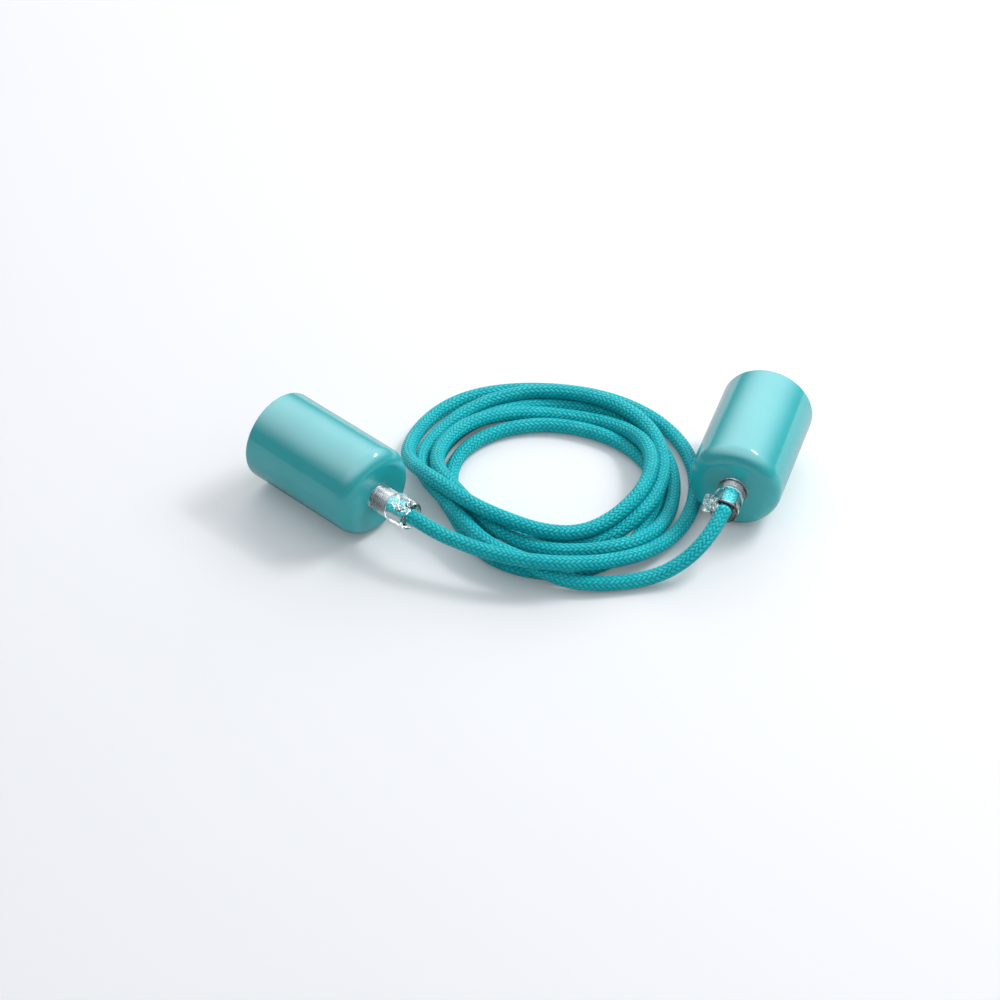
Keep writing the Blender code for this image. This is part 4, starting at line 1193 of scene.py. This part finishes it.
def makeTerminalBlock():
    size = terminalBlock
    floor, top, (wide, deep) = size["floor"], size["top"], size["tower"]
    half = size["poles"] * size["pitch"] / 2
    middle = (size["near"] + size["far"]) / 2
    low, high = (-half, floor, size["far"]), (half, floor + size["baseHeight"], size["near"])
    body = block("blockBase", low, high, size["edge"])
    upright = Matrix.Rotation(math.radians(-90), 4, "X")
    for pole in range(size["poles"]):
        x = (pole - (size["poles"] - 1) / 2) * size["pitch"]
        for row in (-1, 1):
            z = middle + row * size["screwSpacing"] / 2
            low, high = (x - wide / 2, floor + 0.4, z - deep / 2), (x + wide / 2, top, z + deep / 2)
            body = boolean(body, block("tower", low, high, 1.1), "UNION")
            well = turned("well", [(0, -12), (size["well"], -12), (size["well"], 3), (0, 3)], 32)
            well.data.transform(Matrix.Translation((x * mm, top * mm, z * mm)) @ upright)
            body = boolean(body, well)
        bore = turned("bore", [(0, -50), (size["bore"], -50), (size["bore"], 0), (0, 0)], 40)
        bore.data.transform(Matrix.Translation((x * mm, size["holeHeight"] * mm, 0)))
        body = boolean(body, bore)
    finished("terminalBlock", body, "ceiling", whitePlastic, ["terminal_block"], 30)
    insert = rounded([(1.45, 7.5, 0.2), (2.1, 7.5, 0.3), (2.1, -7.5, 0.3), (1.45, -7.5, 0.2)], 4)
    inserts = copied(turned("insert", insert, 40), brass, size["poles"], 1, size["pitch"], 0)
    inserts.data.transform(Matrix.Translation((0, size["holeHeight"] * mm, middle * mm)))
    kinds = ("live", "neutral", "earth")
    finished("terminalInserts", inserts, "ceiling", brass, ["terminal_insert_" + k for k in kinds])
    screw = grubScrew("screws", *size["screw"])
    screws = copied(screw, brass, size["poles"], 2, size["pitch"], size["screwSpacing"])
    screws.data.transform(Matrix.Translation((0, 0, middle * mm)))
    stoodFor = [f"terminal_screw_{k}_{n}" for k in kinds for n in (1, 2)]
    finished("terminalScrews", screws, "ceiling", brass, stoodFor)


makeTerminalBlock()
print("terminal block made")

# lampholder: cap, skirt with ribs, screw shell, and its small brass parts
holder = {
    "ribs": 44, "ribDepth": 0.5, "pitch": 3.63, "threadDepth": 0.9, "shellTop": -27.8, "turns": 5,
    "screw": (1.45, 4.0, 1.2), "screwSpacing": 20, "screwHeight": -17.7,
}


def makeLampholder():
    cap = turned(
        "cap",
        rounded(
            [
                (7.05, -1.3, 0.2), (10.5, -1.3, 0.5), (10.5, -5.5, 1.5), (17.7, -11.7, 1.5), (19, -13, 1.5),
                (19, -26.3, 0.3), (17, -26.3, 0.3), (17, -15, 1.5), (10.28, -9, 1), (5.3, -9, 0.2),
                (5.3, -5.8, 0.2), (7.05, -5.8, 0.2),
            ],
            6,
        ),
        112,
    )
    finished("lampholderCap", cap, "socket", whitePlastic, ["lampholder_cap"])
    skirt = turned(
        "skirt",
        finely(
            rounded(
                [
                    (15.3, -17.6, 0.3), (16.7, -17.6, 0.3), (16.7, -26.6, 0.2), (19, -26.6, 0.4),
                    (19, -60.6, 0.8), (17, -60.6, 0.6), (17, -29.8, 1), (15.8, -29.8, 0.4),
                    (15.8, -51.3, 0.5), (14.3, -51.3, 0.5), (14.3, -27.8, 0), (15.3, -27.8, 0),
                ],
                6,
            ),
            -59, -30, 1.0,
        ),
        352,
    )
    skirt = waved(
        skirt, whitePlastic, holder["ribs"], 0, holder["ribDepth"],
        low=-57.5, high=-31, limit=18, fade=1.5, sharpness=2.0,
    )
    finished("lampholderSkirt", skirt, "socket", whitePlastic, ["lampholder_skirt"])
    low = holder["shellTop"] - 2.2 - holder["turns"] * holder["pitch"]
    shell = turned(
        "shell",
        finely(
            rounded(
                [
                    (11.45, -27.8, 0.1), (14.0, -27.8, 0.5), (14.0, low, 0.15), (13.65, low, 0.15),
                    (13.65, -28.15, 0.2), (11.45, -28.15, 0.1),
                ],
                5,
            ),
            low + 0.2, -28.6, 0.3,
        ),
        128,
    )
    shell = waved(
        shell, brass, 1, 1 / (holder["pitch"] * mm), holder["threadDepth"],
        low=low, high=-28.4, limit=12, fade=1.8, sharpness=1.0,
    )
    finished("screwShell", shell, "socket", brass, ["screw_shell"], 60)
    screws = copied(grubScrew("holderScrews", *holder["screw"]), brass, 2, 1, holder["screwSpacing"], 0)
    screws.data.transform(Matrix.Translation((0, 0, holder["screwHeight"] * mm)))
    stoodFor = ["live_terminal_screw", "neutral_terminal_screw"]
    finished("holderScrews", screws, "socket", brass, stoodFor)


def refined(name, nodeName, material, edge=0.0, smooth=0):
    # a merged copy of a small CAD piece with its edges eased, or a core made round
    made = draft(cleaned(nodes[nodeName].data.copy(), 2e-6))
    if edge:
        step = made.modifiers.new("eased", "BEVEL")
        step.width = edge * mm
        step.segments = 2
        step.limit_method = "ANGLE"
        step.angle_limit = math.radians(40)
    if smooth:
        step = made.modifiers.new("round", "SUBSURF")
        step.levels = step.render_levels = smooth
    asPiece(name, applied(made), material, [nodeName], 40)


makeLampholder()
for name, nodeName, material, slot, edge in (
    ("centreContact", "centre_contact", brass, "brass", 0.12),
    ("earthTag", "earth_tag", brass, "brass", 0.12),
    ("liveTerminal", "live_terminal", brass, "brass", 0.4),
    ("neutralTerminal", "neutral_terminal", brass, "brass", 0.4),
    ("lampholderCore", "lampholder_core", whitePlastic, "white_plastic", 0.5),
):
    refined(name, nodeName, material, edge)
cores = (
    ("Live", brownCore, "brown_core"), ("Neutral", blueCore, "blue_core"), ("Earth", greenCore, "green_core")
)
for end in endPlaces:
    for kind, material, slot in cores:
        refined(end + kind + "Core", f"{end}_core_{kind.lower()}", material, smooth=1)
print("lampholder and cores made")
